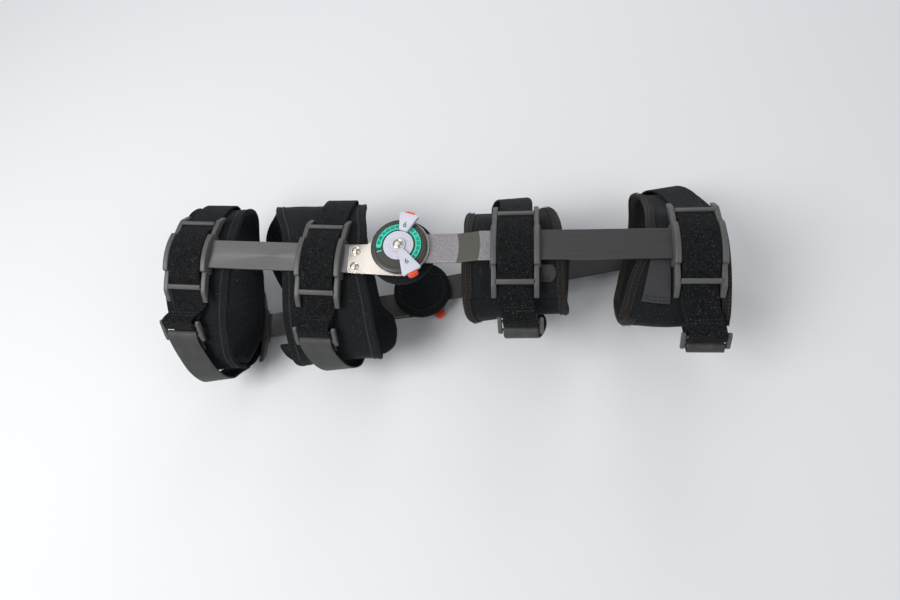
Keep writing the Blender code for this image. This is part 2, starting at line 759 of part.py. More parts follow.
def make_clip_mesh(shop):
    """One strap clip: a curved base that the bar runs through, two rails and two cross bars."""
    slot = [
        (-SLOT_HALF_WIDTH, -CLEARANCE),
        (SLOT_HALF_WIDTH, -CLEARANCE),
        (SLOT_HALF_WIDTH, BAR_THICKNESS + CLEARANCE),
        (-SLOT_HALF_WIDTH, BAR_THICKNESS + CLEARANCE),
    ]

    def mirrored(points):
        return [*points, *[(-y, w) for y, w in reversed(points)]]

    def wall(outline, holes, low, high):
        half = (high - low) / 2
        flat = shop.flat_mesh("strap_clip", outline, holes, -half, half)
        return extruded_across(flat, low, high)

    def underside(half):
        return [(y, clip_underside(y)) for y in (-half, -half / 2, 0.0, half / 2, half)]

    bottom = underside(CLIP_CHEEK_HALF_LENGTH)
    cheek_top = [
        (y, dome_height(y, CLIP_TOP)) for y in (CLIP_CHEEK_HALF_LENGTH, CLIP_SHOULDER)
    ]
    cheek = [*bottom, *cheek_top, (CLIP_FLAT_HALF, CLIP_TOP), (-CLIP_FLAT_HALF, CLIP_TOP)]
    cheek += [(-y, w) for y, w in reversed(cheek_top)]
    core_top = STRAP_TOP - STRAP_THICKNESS - CLEARANCE
    shoulder = (CLIP_CORE_SHOULDER, dome_height(CLIP_CORE_SHOULDER, core_top) - CLEARANCE)
    crown = (CLIP_CORE_SHOULDER / 2, dome_height(CLIP_CORE_SHOULDER / 2, core_top))
    core_top_points = [(CLIP_CORE_HALF_LENGTH, CLIP_CORE_EDGE), shoulder, crown]
    core = [*underside(CLIP_CORE_HALF_LENGTH), *core_top_points]
    core += [(-y, w) for y, w in reversed(core_top_points)]
    inner = CLIP_INNER_HALF_WIDTH
    reach = CLIP_HALF_LENGTH
    core_half = inner + CLIP_OVERLAP
    parts = [wall(core, [slot], -core_half, core_half)]
    for turn in (-1, 1):
        low, high = sorted((turn * inner, turn * (inner + CLIP_CHEEK)))
        parts.append(wall(cheek, [slot], low, high))
        low, high = sorted((turn * (inner + CLIP_RAIL_TRIM), turn * (inner + CLIP_RAIL)))
        for way in (-1, 1):
            start = CLIP_CHEEK_HALF_LENGTH - CLIP_RAIL_OVERLAP
            rail = [
                (start, clip_underside(start)),
                (CLIP_RAIL_BEND, clip_underside(CLIP_RAIL_BEND)),
                (reach - CLIP_TIP_CHAMFER[0], clip_underside(reach)),
                (reach, clip_underside(reach) + CLIP_TIP_CHAMFER[1]),
                (reach - CLIP_TIP_TOP[0], clip_underside(reach) + CLIP_TIP_TOP[1]),
                (CLIP_RAIL_TAPER, clip_underside(CLIP_RAIL_TAPER) + CLIP_RAIL_HEIGHT),
                (start, clip_underside(start) + CLIP_RAIL_HEIGHT),
            ]
            parts.append(wall([(way * y, w) for y, w in rail], [], low, high))
    for way in (-1, 1):
        half_long, half_high = (size / 2 for size in CROSS_BAR_SIZE)
        turn = Matrix.Rotation(CROSS_BAR_TILT, 2)
        corners = [(-1, -1), (1, -1), (1, 1), (-1, 1)]
        outline = []
        for a, b in corners:
            corner = turn @ Vector((a * half_long, b * half_high))
            outline.append((way * (CROSS_BAR_Y + corner.x), CROSS_BAR_W + corner.y))
        bar_half = inner + CROSS_BAR_REACH
        parts.append(wall(outline, [], -bar_half, bar_half))
    return shop.united_mesh("strap_clip", parts)


def make_clips(shop, side, parent, hand, mesh):
    """The four strap clips on one upright, which share one mesh."""
    for cuff in CUFFS:
        name = f"{side}_{cuff}_clip"
        shop.piece(name, mesh, "clip_plastic", parent, clip_frame(cuff, hand))


def cuff_angles(cuff):
    """Return the angles of a cuff's sections, from its inner to its outer end."""
    start, end = CUFFS[cuff]["start"], CUFFS[cuff]["end"]
    count = round((end - start) / CUFF_STEP)
    return [start + (end - start) * step / count for step in range(count + 1)]


def cuff_inset(cuff, degrees):
    """Return how far the inner layer lies inside the outer one."""
    sizes = CUFFS[cuff]
    overlap = sizes["end"] - sizes["start"] - 360
    past = degrees - sizes["start"] - overlap - INSET_DELAY
    return (FOAM_THICKNESS + OVERLAP_GAP) * (1 - smooth_step(past / INSET_REACH))


def rim_shift(cuff, share, across):
    """Return how far a cuff's rim lies beyond its middle, at the front or the back."""
    way = 1 if across > 0 else -1
    rims = CUFFS[cuff]["back_rims" if across > 0 else "front_rims"]
    side = 2 * share - 1
    reach = rims[0] if side < 0 else rims[1]
    return way * reach * side * side * smooth_step(abs(across) / RIM_START)


def cuff_edges(cuff, degrees):
    """Return a cuff's left and right edges along its limb at an angle round it."""
    edges = CUFF_EDGES[cuff]
    left = read_table(edges["turn"], edges["left"], degrees)
    right = read_table(edges["turn"], edges["right"], degrees)
    return left, right


def cuff_point(cuff, degrees, share, lift):
    """Return a point of a cuff's outer side, at a share of its width from its left edge."""
    sizes = CUFFS[cuff]
    left, right = cuff_edges(cuff, degrees)
    offset = lift - cuff_inset(cuff, degrees)
    place, outward = ring_point(cuff, degrees, sizes["front"], sizes["back"], offset)
    beside_clip = smooth_step((abs(place.x) - RIM_START) / RIM_REACH)
    place += outward * RIM_LIFT * (2 * share - 1) ** 4 * beside_clip
    place.x += rim_shift(cuff, share, place.x)
    return lie(sizes["limb"], left + (right - left) * share, place.x, place.y)


def make_cuff(shop, cuff, parent):
    """One foam cuff: a sheet wrapped round the limb, its outer end over its inner end."""
    rows = [
        [cuff_point(cuff, degrees, share, 0) for degrees in cuff_angles(cuff)]
        for share in CUFF_ROWS
    ]
    shop.sheet(f"{cuff}_cuff", rows, FOAM_THICKNESS, "foam_fabric", parent)


def make_hook_tab(shop, cuff, parent):
    """The short hook tab that shows by the outer end of a calf cuff."""
    tab = HOOK_TABS[cuff]
    angles = [cuff_angles(cuff)[section] for section in tab["sections"]]
    rows = []
    for edge in ("left", "right"):
        row = []
        for degrees, along in zip(angles, tab[edge]):
            left, right = cuff_edges(cuff, degrees)
            share = (along - left) / (right - left)
            row.append(cuff_point(cuff, degrees, share, TAB_THICKNESS + BAND_GAP))
        rows.append(row)
    shop.sheet(f"{cuff}_hook_tab", rows, TAB_THICKNESS, "hook_fabric", parent)


def buckle_place(cuff):
    """Return a buckle's middle, and the directions up the strap and away from the limb."""
    sizes = CUFFS[cuff]
    lift = BAND_GAP + STRAP_THICKNESS + LOOP_RADIUS
    middle, outward = ring_point(
        cuff, sizes["buckle"], sizes["strap_front"], sizes["strap_back"], lift
    )
    upward = Vector((outward.y, -outward.x))
    return middle, upward, outward


def loop_path(centre, away, outward, thickness):
    """Return a band's outer side from its tail, round a buckle's bar, to the start of its run."""
    radius = LOOP_RADIUS + thickness
    path = [centre + away * TAIL_LENGTH - outward * radius]
    for step in range(7):
        angle = math.pi * step / 6
        turned = -outward * math.cos(angle) - away * math.sin(angle)
        path.append(centre + turned * radius)
    path.append(centre + away * LOOP_RUN + outward * radius)
    return path


def over_clip(way):
    """Return a strap's outer side over one upright's clip, from its front to its back."""
    across = [*[-y for y in reversed(OVER_CLIP_STEPS)], 0, *OVER_CLIP_STEPS]
    return [Vector((y, way * (HALF_GAP + dome_height(y, STRAP_TOP)))) for y in across]


def ring_angle(cuff, reach, across):
    """Return the angle up from the front or back at which a ring is a distance across."""
    return math.degrees(math.acos((across / reach) ** (CUFFS[cuff]["power"] / 2)))


def ring_run(cuff, first, last, step, front, back, lift):
    """Return points round the limb between two angles."""
    count = max(2, round(abs(last - first) / step))
    return [
        ring_point(cuff, first + (last - first) * index / count, front, back, lift)[0]
        for index in range(count + 1)
    ]


def make_strap(shop, cuff, parent):
    """The napped strap from the buckle, over the near clip, round the back to the far clip."""
    sizes = CUFFS[cuff]
    front, back = sizes["strap_front"], sizes["strap_back"]
    lift = STRAP_THICKNESS + BAND_GAP
    middle, upward, outward = buckle_place(cuff)
    path = loop_path(middle + upward * BUCKLE_BAR_PLACE, upward, outward, STRAP_THICKNESS)
    leaves = 180 - ring_angle(cuff, front, BAND_LEAVES_CLIP)
    path += ring_run(cuff, sizes["buckle"] - STRAP_RUN_START, leaves, FRONT_STEP, front, back, lift)
    path += over_clip(1)
    leaves = ring_angle(cuff, back, BAND_LEAVES_CLIP)
    path += ring_run(cuff, leaves, -leaves, BACK_STEP, front, back, lift)
    path += reversed(over_clip(-1))
    front = sizes["webbing_front"]
    leaves, end = (180 + ring_angle(cuff, front, y) for y in (BAND_LEAVES_CLIP, STRAP_END))
    path += ring_run(cuff, leaves, end, END_STEP, front, back, lift)
    add_band(shop, f"{cuff}_strap", cuff, path, STRAP_THICKNESS, "strap_fabric", parent)


def make_webbing(shop, cuff, parent):
    """The smooth webbing from the far clip up the front to the buckle."""
    sizes = CUFFS[cuff]
    front = sizes["webbing_front"]
    middle, upward, outward = buckle_place(cuff)
    path = loop_path(middle - upward * BUCKLE_BAR_PLACE, -upward, outward, WEBBING_THICKNESS)
    buckle_lift = BAND_GAP + STRAP_THICKNESS + 2 * LOOP_RADIUS + WEBBING_THICKNESS
    end_lift = STRAP_THICKNESS + 2 * BAND_GAP + WEBBING_THICKNESS
    first = sizes["buckle"] + WEBBING_RUN_START
    last = 180 + ring_angle(cuff, front, WEBBING_END)
    count = round((last - first) / WEBBING_STEP)
    for index in range(count + 1):
        degrees = first + (last - first) * index / count
        slack = smooth_step((degrees - sizes["buckle"]) / SLACK_REACH)
        reach = sizes["strap_front"] + (front - sizes["strap_front"]) * slack
        lift = buckle_lift + (end_lift - buckle_lift) * slack
        path.append(ring_point(cuff, degrees, reach, sizes["strap_back"], lift)[0])
    path.reverse()
    add_band(shop, f"{cuff}_webbing", cuff, path, WEBBING_THICKNESS, "webbing_fabric", parent)


def strap_middle(cuff, across):
    """Return the middle of a strap along its limb, which leans away from the clips."""
    if across > 0:
        return CLIP_XS[cuff] + CUFFS[cuff]["lean_back"] * smooth_step(
            (across - LEAN_START) / LEAN_REACH
        )
    middle, upward, _ = buckle_place(cuff)
    buckle = -(middle + upward * BUCKLE_BAR_PLACE).x
    past = smooth_step((-across - LEAN_START) / (buckle - LEAN_START))
    return CLIP_XS[cuff] + CUFFS[cuff]["lean_front"] * past


def add_band(shop, name, cuff, path, thickness, finish, parent):
    """Add a band of the strap's width along a path round the limb."""
    limb = CUFFS[cuff]["limb"]
    rows = [
        [
            lie(limb, strap_middle(cuff, place.x) + side * STRAP_WIDTH / 2, place.x, place.y)
            for place in path
        ]
        for side in (1, -1)
    ]
    shop.sheet(name, rows, thickness, finish, parent)


def make_buckle(shop, cuff, parent):
    """The flat ladder-shaped buckle: two bars for the strap and the webbing, and two sides."""
    middle, upward, outward = buckle_place(cuff)
    inner = STRAP_WIDTH / 2 + BUCKLE_PLAY
    outer = inner + BUCKLE_SIDE
    bar_outside = BUCKLE_BAR_PLACE + BUCKLE_BAR_HALF
    opening = BUCKLE_BAR_PLACE - BUCKLE_BAR_HALF
    quarter = [
        (outer, BUCKLE_SIDE_HALF_LENGTH - BUCKLE_CORNER),
        (outer - BUCKLE_CORNER, BUCKLE_SIDE_HALF_LENGTH),
        (inner, BUCKLE_SIDE_HALF_LENGTH),
        (inner, bar_outside),
    ]
    outline = []
    for x_way, y_way in ((1, 1), (-1, 1), (-1, -1), (1, -1)):
        corners = [(x_way * x, y_way * y) for x, y in quarter]
        if x_way * y_way < 0:
            corners.reverse()
        outline += corners
    hole = [(inner, opening), (-inner, opening), (-inner, -opening), (inner, -opening)]
    mesh = shop.flat_mesh(
        f"{cuff}_buckle", outline, [hole], -BUCKLE_THICKNESS / 2, BUCKLE_THICKNESS / 2
    )
    limb = CUFFS[cuff]["limb"]
    for vertex in mesh.vertices:
        flat = middle + upward * vertex.co.y + outward * vertex.co.z
        vertex.co = lie(limb, strap_middle(cuff, flat.x) + vertex.co.x, flat.x, flat.y)
    turn_faces_out(mesh)
    shop.piece(f"{cuff}_buckle", mesh, "clip_plastic", parent)


def turn_faces_out(mesh):
    """Turn a closed mesh's faces outwards."""
    shape = bmesh.new()
    shape.from_mesh(mesh)
    bmesh.ops.recalc_face_normals(shape, faces=shape.faces)
    shape.to_mesh(mesh)
    shape.free()


def build():
    """Build the whole brace, with the middle of its footprint at the origin."""
    shop = Workshop()
    brace = shop.empty("brace", Matrix())
    lateral = shop.empty("lateral_upright", Matrix.Translation((0, 0, HALF_GAP)), brace)
    over = Matrix.Rotation(math.pi, 4, "X")
    medial_place = Matrix.Translation((0, 0, -HALF_GAP)) @ Matrix.Rotation(TWIST, 4, "Z") @ over
    medial = shop.empty("medial_upright", medial_place, brace)
    clip_mesh = make_clip_mesh(shop)
    for side, upright, hand in (("lateral", lateral, 1), ("medial", medial, -1)):
        make_bars(shop, side, upright, hand)
        make_hinge(shop, side, upright, hand)
        make_clips(shop, side, upright, hand, clip_mesh)
    for cuff in CUFFS:
        make_cuff(shop, cuff, brace)
        make_strap(shop, cuff, brace)
        make_webbing(shop, cuff, brace)
        make_buckle(shop, cuff, brace)
    for cuff in HOOK_TABS:
        make_hook_tab(shop, cuff, brace)
    set_down(shop, brace)


def set_down(shop, brace):
    """Move the brace so that it stands on Z 0 with its footprint's middle at the origin."""
    bpy.context.view_layer.update()
    graph = bpy.context.evaluated_depsgraph_get()
    corners = []
    for made in shop.pieces.objects:
        evaluated = made.evaluated_get(graph)
        mesh = evaluated.to_mesh()
        corners += [evaluated.matrix_world @ vertex.co for vertex in mesh.vertices]
        evaluated.to_mesh_clear()
    low = [min(corner[axis] for corner in corners) for axis in range(3)]
    high = [max(corner[axis] for corner in corners) for axis in range(3)]
    brace.location = (-(low[0] + high[0]) / 2, -(low[1] + high[1]) / 2, -low[2])
    bpy.context.view_layer.update()


build()
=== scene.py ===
"""Looks for the hinged knee brace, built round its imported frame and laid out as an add-on.

Sizes are in metres. X runs from the thigh to the calf, +Y is the back of the knee and Z is up.
An upright is modelled seen from outside, with its bar's inner face at height 0 and the knee's
axis at the middle, and is then put in its place.
"""

import json
import math
from contextlib import contextmanager
from itertools import product

import bpy
from bpy.props import FloatProperty, FloatVectorProperty, IntProperty, PointerProperty
from mathutils import Matrix, Vector, noise

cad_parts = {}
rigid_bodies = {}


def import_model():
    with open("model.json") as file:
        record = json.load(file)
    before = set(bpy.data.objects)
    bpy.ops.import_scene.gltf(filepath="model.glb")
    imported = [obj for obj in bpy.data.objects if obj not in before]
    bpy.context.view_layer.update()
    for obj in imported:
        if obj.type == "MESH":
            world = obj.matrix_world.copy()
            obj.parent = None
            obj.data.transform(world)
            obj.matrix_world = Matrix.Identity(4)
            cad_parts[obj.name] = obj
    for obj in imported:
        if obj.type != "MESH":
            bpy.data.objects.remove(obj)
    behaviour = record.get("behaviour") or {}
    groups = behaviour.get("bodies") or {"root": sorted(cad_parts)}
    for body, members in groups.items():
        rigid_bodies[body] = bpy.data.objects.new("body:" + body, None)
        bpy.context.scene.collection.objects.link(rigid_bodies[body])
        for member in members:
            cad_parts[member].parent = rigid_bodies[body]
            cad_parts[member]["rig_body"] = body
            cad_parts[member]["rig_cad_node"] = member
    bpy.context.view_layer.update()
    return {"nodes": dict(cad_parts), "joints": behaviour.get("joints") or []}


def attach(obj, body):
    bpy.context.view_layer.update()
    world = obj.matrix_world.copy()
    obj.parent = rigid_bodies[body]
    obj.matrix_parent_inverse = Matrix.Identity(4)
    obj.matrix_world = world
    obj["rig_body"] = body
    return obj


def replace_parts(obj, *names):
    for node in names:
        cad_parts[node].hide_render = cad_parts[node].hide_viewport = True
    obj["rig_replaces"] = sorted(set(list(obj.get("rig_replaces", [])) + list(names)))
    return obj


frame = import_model()

bl_info = {
    "name": "Hinged knee brace",
    "version": (1, 0, 0),
    "blender": (4, 5, 0),
    "location": "3D View > Sidebar > Knee brace",
    "description": "Models the bars, dial hinges, clips, foam cuffs, straps and buckles",
    "category": "Object",
}

KNEE = Vector(next(j["pos_m"] for j in frame["joints"] if j["name"] == "knee_flexion"))
SIDES = (("lateral", 1), ("medial", -1))
BAR_THICKNESS = 0.003
UPRIGHT_GAP = 0.1283
HALF_GAP = UPRIGHT_GAP / 2
STRAP_THICKNESS = 0.002
WEBBING_THICKNESS = 0.0016
FOAM_THICKNESS = 0.0045
CLEARANCE = 0.0003
METAL_EDGE = 0.0005
MERGE_DISTANCE = 0.00001

# How the brace lies
TWIST = math.radians(10.96)
TWIST_PLATEAU = 0.022
THIGH_OFFSET = -0.0117
THIGH_TURN = math.radians(-1.98)
THIGH_BEND_X = -0.054
CALF_BEND_START_X = 0.058
CALF_BEND_END_X = 0.079
CALF_STEP = 0.0055

# Heights on the hinge, from the bar's inner face outwards
PLATE_LOW = BAR_THICKNESS + CLEARANCE
PLATE_HIGH = PLATE_LOW + 0.0018
COVER_LOW = PLATE_HIGH + CLEARANCE
COVER_HIGH = COVER_LOW + 0.0046
SCALE_HIGH = COVER_HIGH + 0.0008
RING_LOW = COVER_HIGH + CLEARANCE
RING_THICKNESS = 0.0013
ARM_LOW = SCALE_HIGH + CLEARANCE
DIAL_TOP = 0.0153
SECOND_RING_LOW = RING_LOW + RING_THICKNESS + CLEARANCE
BUTTON_LOW = 0.0068
BUTTON_HIGH = 0.0131
POCKET_HIGH = BUTTON_HIGH + CLEARANCE
PAD_HIGH = -0.0021
PAD_LOW = -0.0126

# The dial, its pointers and the pad behind it
BORE_RADIUS = 0.0045
COVER_RADIUS = 0.028
SCALE_INNER = 0.0168
SCALE_OUTER = 0.0223
HUB_RADIUS = 0.015
GROOVE_DEPTH = 0.00035
ARM_END = 0.033
ARM_END_HALF = 0.0098
ARM_SLOPE = 0.0012
ROOF_START = 0.0261
WINDOW_PLACE = 0.0205
WINDOW_RADIUS = 0.0031
WINDOW_RIM = 0.0004
POCKET_HALF = 0.0057
POCKET_START = 0.0281
POINTERS = {
    "flexion": {
        "angle": 73, "radius": HUB_RADIUS, "low": RING_LOW, "arm_low": ARM_LOW,
        "start": 0.0150, "start_half": 0.0043, "grooves": (0.0128, 0.0103, 0.0082),
    },
    "extension": {
        "angle": -61, "radius": 0.0072, "low": SECOND_RING_LOW, "arm_low": SECOND_RING_LOW + 0.0002,
        "start": 0.0062, "start_half": 0.0026, "grooves": (),
    },
}
INDEX_ANGLE = 197
DIAL_FIRST = 171
DIAL_PITCH = 15
DIAL_MARKS = 15
NUMBER_SIZE = 0.0043
DIGIT_SIZE = 0.0078
STROKE_WEIGHT = 0.00012
PRINT_HALF = 0.00003
PRINT_LIFT = 0.00004
RIVET_PLACES = ((-0.0438, -0.0029), (-0.0438, -0.0193))
RIVET_RADIUS = 0.0047
RIVET_RIM = 0.0003
BOLT_RADIUS = 0.0042
BOLT_FOOT_RADIUS = 0.006
BOLT_HEAD_RADIUS = 0.0053
BOLT_RIM = 0.0005
PAD_RADIUS = 0.034
PAD_SEAM_INSET = 0.0075
PAD_SEAM_SWING = 0.0011

# Strap clips
CLIP_RADIUS = 0.118
CLIP_BASE_LOW = -0.004
CLIP_HALF_LENGTH = 0.0478
CLIP_INNER_HALF_WIDTH = 0.0175
CLIP_RAIL = 0.005
CLIP_RAIL_HEIGHT = 0.0076
CLIP_RAIL_DROP = 0.0055
CLIP_CHEEK = 0.007
CLIP_CHEEK_HALF_LENGTH = 0.0206
CLIP_CHEEK_LEAN = 0.0018
CLIP_CORE_HALF_LENGTH = 0.0180
CLIP_HEIGHT = 0.0138
CLIP_TOP = 0.0098
CROSS_BAR_Y = 0.0354
CROSS_BAR_W = -0.0018
CROSS_BAR_HALF = (0.0025, 0.0014)
CROSS_BAR_TILT = math.radians(-38)
DOME_RADIUS = 0.052
STRAP_TOP = 0.0088
CLIP_XS = {
    "thigh_upper": -0.2197, "thigh_lower": -0.081, "calf_upper": 0.1123, "calf_lower": 0.2781,
}
SPLAY = math.asin(
    CALF_STEP / (THIGH_BEND_X - CLIP_XS["thigh_upper"] + CLIP_INNER_HALF_WIDTH + CLIP_CHEEK)
)

# Cuffs, with the same shape as their solids. Angles run from the back over the outer bar,
# in degrees, and an edge is read at the turns beside it.
THIGH = {"limb": "thigh", "start": 165, "end": 575, "power": 1.8}
CALF = {"limb": "calf", "start": 97, "power": 2.0}
STRAIGHT = {"lean_back": 0.0, "back_rims": (0.0, 0.0), "front_rims": (0.0, 0.0)}
CUFFS = {
    "thigh_upper": {
        **THIGH, **STRAIGHT, "front": 0.071, "back": 0.085, "lean_front": -0.016,
        "strap_back": 0.0875, "strap_front": 0.0745, "webbing_front": 0.0775, "buckle": 152,
    },
    "thigh_lower": {
        **THIGH, **STRAIGHT, "front": 0.079, "back": 0.092, "lean_front": -0.006,
        "strap_back": 0.0955, "strap_front": 0.0815, "webbing_front": 0.083, "buckle": 148,
        "back_rims": (-0.004, 0.0),
    },
    "calf_upper": {
        **CALF, **STRAIGHT, "end": 495, "front": 0.062, "back": 0.060, "lean_front": 0.005,
        "strap_back": 0.074, "strap_front": 0.079, "webbing_front": 0.074, "buckle": 147,
    },
    "calf_lower": {
        **CALF, "end": 503, "front": 0.083, "back": 0.060, "lean_front": 0.007,
        "strap_back": 0.0635, "strap_front": 0.094, "webbing_front": 0.088, "buckle": 148.5,
        "lean_back": 0.012, "back_rims": (0.004, 0.0), "front_rims": (-0.006, 0.002),
    },
}
CUFF_EDGES = {
    "thigh_upper": {
        "turn": (165, 270, 360, 400, 450, 487, 516, 546, 575),
        "left": (-0.250, -0.250, -0.246, -0.246, -0.248, -0.250, -0.250, -0.248, -0.246),
        "right": (-0.205, -0.199, -0.184, -0.186, -0.177, -0.181, -0.190, -0.203, -0.208),
    },
    "thigh_lower": {
        "turn": (165, 194, 224, 253, 270, 311, 341, 370, 399, 429, 458, 487, 516, 546, 575),
        "left": (
            -0.138, -0.138, -0.140, -0.145, -0.150, -0.176, -0.178, -0.162,
            -0.152, -0.130, -0.122, -0.121, -0.123, -0.132, -0.133,
        ),
        "right": (
            -0.045, -0.040, -0.032, -0.036, -0.050, -0.056, -0.056, -0.055,
            -0.052, -0.040, -0.037, -0.0285, -0.0275, -0.0375, -0.048,
        ),
    },
    "calf_upper": {
        "turn": (97, 180, 270, 360, 450, 495),
        "left": (0.060, 0.060, 0.060, 0.062, 0.062, 0.063),
        "right": (0.163, 0.160, 0.158, 0.152, 0.158, 0.160),
    },
    "calf_lower": {
        "turn": (97, 184, 213, 242, 271, 300, 329, 358, 387, 416, 445, 474, 503),
        "left": (
            0.236, 0.208, 0.209, 0.224, 0.240, 0.252, 0.254,
            0.252, 0.243, 0.2375, 0.233, 0.219, 0.210,
        ),
        "right": (0.306,) * 13,
    },
}
LEAN_START = 0.047
LEAN_REACH = 0.030
RIM_LIFT = 0.002
RIM_START = 0.040
RIM_REACH = 0.020
OVERLAP_GAP = 0.0006
OVERLAP_START = 6
OVERLAP_RUN = 60
FOAM_EDGE = 0.0013
WAVES = ((0.035, 0.0010), (0.014, 0.0004))
WAVES_SINK = 0.0004
WAVES_START = 0.030
WAVES_REACH = 0.025
SEAM_DENT = 0.0006
SEAM_DENT_SPREAD = 0.2
BINDING_THICKNESS = 0.0004
BINDING_SEAMS = (0.0022, 0.0070)
HOOK_TABS = {
    "calf_upper": {
        "sections": (25, 25.25, 25.5, 25.75, 26), "left": (0.136,) * 5,
        "right": (0.1475, 0.1505, 0.1510, 0.1500, 0.1465),
    },
    "calf_lower": {
        "sections": (25, 26, 27), "left": (0.236, 0.232, 0.228), "right": (0.2535,) * 3,
    },
}
TAB_THICKNESS = 0.001
TAB_LIFT = 0.0018
CUFF_STEP = 14.6

# Buckles, straps and webbing
BUCKLE_BAR_PLACE = 0.005
BUCKLE_SIDE = 0.004
LOOP_RADIUS = 0.0027
LOOP_RUN = 0.0055
TAIL_LENGTH = 0.012
BAND_STEP = 0.0025
BAND_GAP = 0.0006
BAND_LEAVES_CLIP = 0.047
STRAP_END = 0.060
STRAP_LEAVES_BUCKLE = 20
STRAP_SEAMS = (0.040, 0.0425)
WEBBING_END = 0.052
WEBBING_LEAVES_BUCKLE = 17
WEBBING_SLACK_RUN = 40

# Stitches: a stitch's share of its pitch, and how far its thread stands off the cloth or tape
THREAD_RADIUS = 0.0003
FINE_THREAD = 0.00028
STITCH_PARTS = (0.15, 0.85)
STITCH_GAP = 0.18
ZIGZAG_PITCH = 0.55
ZIGZAG_SWING = 0.0013
THREAD_LIFT = 0.0004
TAPE_LIFT = 0.0013

# Stage: each light's name, place, size and power, and the camera's place from the knee
LIGHTS = (
    ("key", (-0.8, -0.45, 1.3), 0.8, 17),
    ("fill", (1.2, -0.4, 1.1), 1.0, 4.5),
    ("back", (0.2, 1.4, 0.8), 0.8, 5),
    ("card", (-0.45, 0.50, 1.35), 0.7, 1.4),
)
CAMERA_LENS = 22.574
CAMERA_PLACE = (0.12407, -0.21759, 0.62988 - HALF_GAP)
CAMERA_AXES = (
    (0.990656, 0.043442, -0.129280),
    (-0.000794, 0.949736, 0.313050),
    (0.136381, -0.310023, 0.940896),
)

# Finishes that differ in their numbers alone: a thread's colour, and for a moulding its
# colour or setting, roughness, grain, relief and metal. A brushed pattern is stretched.
BRUSHED = (25, 1500, 1500)
THREADS = {
    "thread": (0.034, 0.037, 0.040),
    "dark_thread": (0.006, 0.006, 0.007),
    "strap_thread": (0.014, 0.015, 0.016),
}
MOULDED = {
    "printed_scale": ("scale_colour", 0.42, 900, 0.08, 0.0),
    "clip_plastic": ("plastic_colour", 0.46, 1500, 0.25, 0.0),
    "cover_plastic": ((0.060, 0.060, 0.055), 0.36, 1200, 0.12, 0.35),
    "pointer_plastic": ((0.60, 0.60, 0.67), 0.34, 900, 0.05, 0.0),
    "button_plastic": ("button_colour", 0.35, 900, 0.08, 0.0),
    "ink": ((0.006, 0.035, 0.030), 0.5, 900, 0.05, 0.0),
    "digit_ink": ((0.006, 0.16, 0.13), 0.5, 900, 0.05, 0.0),
}


def length_setting(name, description, default, low, high):
    """Return a length that a user can change."""
    return FloatProperty(
        name=name, description=description, default=default, min=low, max=high, unit="LENGTH",
    )


def colour_setting(name, description, default):
    """Return a colour that a user can change."""
    return FloatVectorProperty(
        name=name, description=description, default=default, subtype="COLOR", min=0, max=1,
    )


class BraceLooks(bpy.types.PropertyGroup):
    """The sizes and colours of the brace that a user would change."""

    strap_width: length_setting(
        "Strap width", "Width of the napped straps and the webbing", 0.033, 0.02, 0.05
    )
    stitch_pitch: length_setting(
        "Stitch pitch", "Distance from one stitch to the next on the foam cuffs",
        0.0034, 0.002, 0.008,
    )
    seam_inset: length_setting(
        "Seam inset", "Distance from a cuff's rim to its seam", 0.008, 0.004, 0.015
    )
    dial_step: IntProperty(
        name="Dial step", description="Degrees from one number on the dial to the next",
        default=10, min=5, max=30,
    )
    foam_colour: colour_setting(
        "Foam cover", "Colour of the brushed cover of the foam cuffs", (0.0040, 0.0047, 0.0053)
    )
    strap_colour: colour_setting(
        "Strap", "Colour of the napped straps", (0.0034, 0.0036, 0.0039)
    )
    webbing_colour: colour_setting(
        "Webbing", "Colour of the smooth webbing", (0.050, 0.050, 0.048)
    )
    scale_colour: colour_setting(
        "Dial scale", "Colour of the scale printed on each dial", (0.030, 0.62, 0.44)
    )
    button_colour: colour_setting(
        "Release buttons", "Colour of the buttons that free the pointers", (0.88, 0.075, 0.012)
    )
    plastic_colour: colour_setting(
        "Clips and buckles", "Colour of the strap clips and the buckles", (0.085, 0.084, 0.083)
    )


def looks():
    """Return the settings that the add-on keeps on the scene."""
    return bpy.context.scene.knee_brace_looks


# Shapes shared with the solids

def smooth_step(value):
    """Ease from 0 to 1."""
    clamped = min(max(value, 0.0), 1.0)
    return clamped * clamped * (3 - 2 * clamped)


def spread(first, last, count):
    """Return evenly spaced values from one to another, both included."""
    return [first + (last - first) * step / count for step in range(count + 1)]


def read_table(places, values, place):
    """Read a column of a table at a place between its rows, along one smooth curve."""
    last = len(places) - 1
    row = next((index for index in range(last) if place <= places[index + 1]), last - 1)
    width = places[row + 1] - places[row]
    share = min(max((place - places[row]) / width, 0.0), 1.0)

    def climb(index):
        before = max(index - 1, 0)
        after = min(index + 1, last)
        return (values[after] - values[before]) / (places[after] - places[before]) * width

    eased = smooth_step(share)
    between = values[row] + (values[row + 1] - values[row]) * eased
    leaving = climb(row) * share * (1 - share) ** 2
    arriving = climb(row + 1) * share ** 2 * (share - 1)
    return between + leaving + arriving


def limb_frame(limb, hand):
    """Return where a limb's bar lies on an upright seen from outside."""
    if limb == "calf":
        return Matrix()
    place = Matrix.Translation((0, hand * THIGH_OFFSET, 0))
    return place @ Matrix.Rotation(hand * THIGH_TURN, 4, "Z")


def splay_frame():
    """Return the turn outwards of the thigh bar beyond its bend."""
    place = Matrix.Translation((THIGH_BEND_X, 0, 0))
    return place @ Matrix.Rotation(SPLAY, 4, "Y") @ place.inverted()


def clip_frame(cuff, hand):
    """Return where a strap clip sits on an upright."""
    place = Matrix.Translation((CLIP_XS[cuff], 0, 0))
    if CUFFS[cuff]["limb"] == "calf":
        return Matrix.Translation((0, 0, CALF_STEP)) @ place
    return limb_frame("thigh", hand) @ splay_frame() @ place


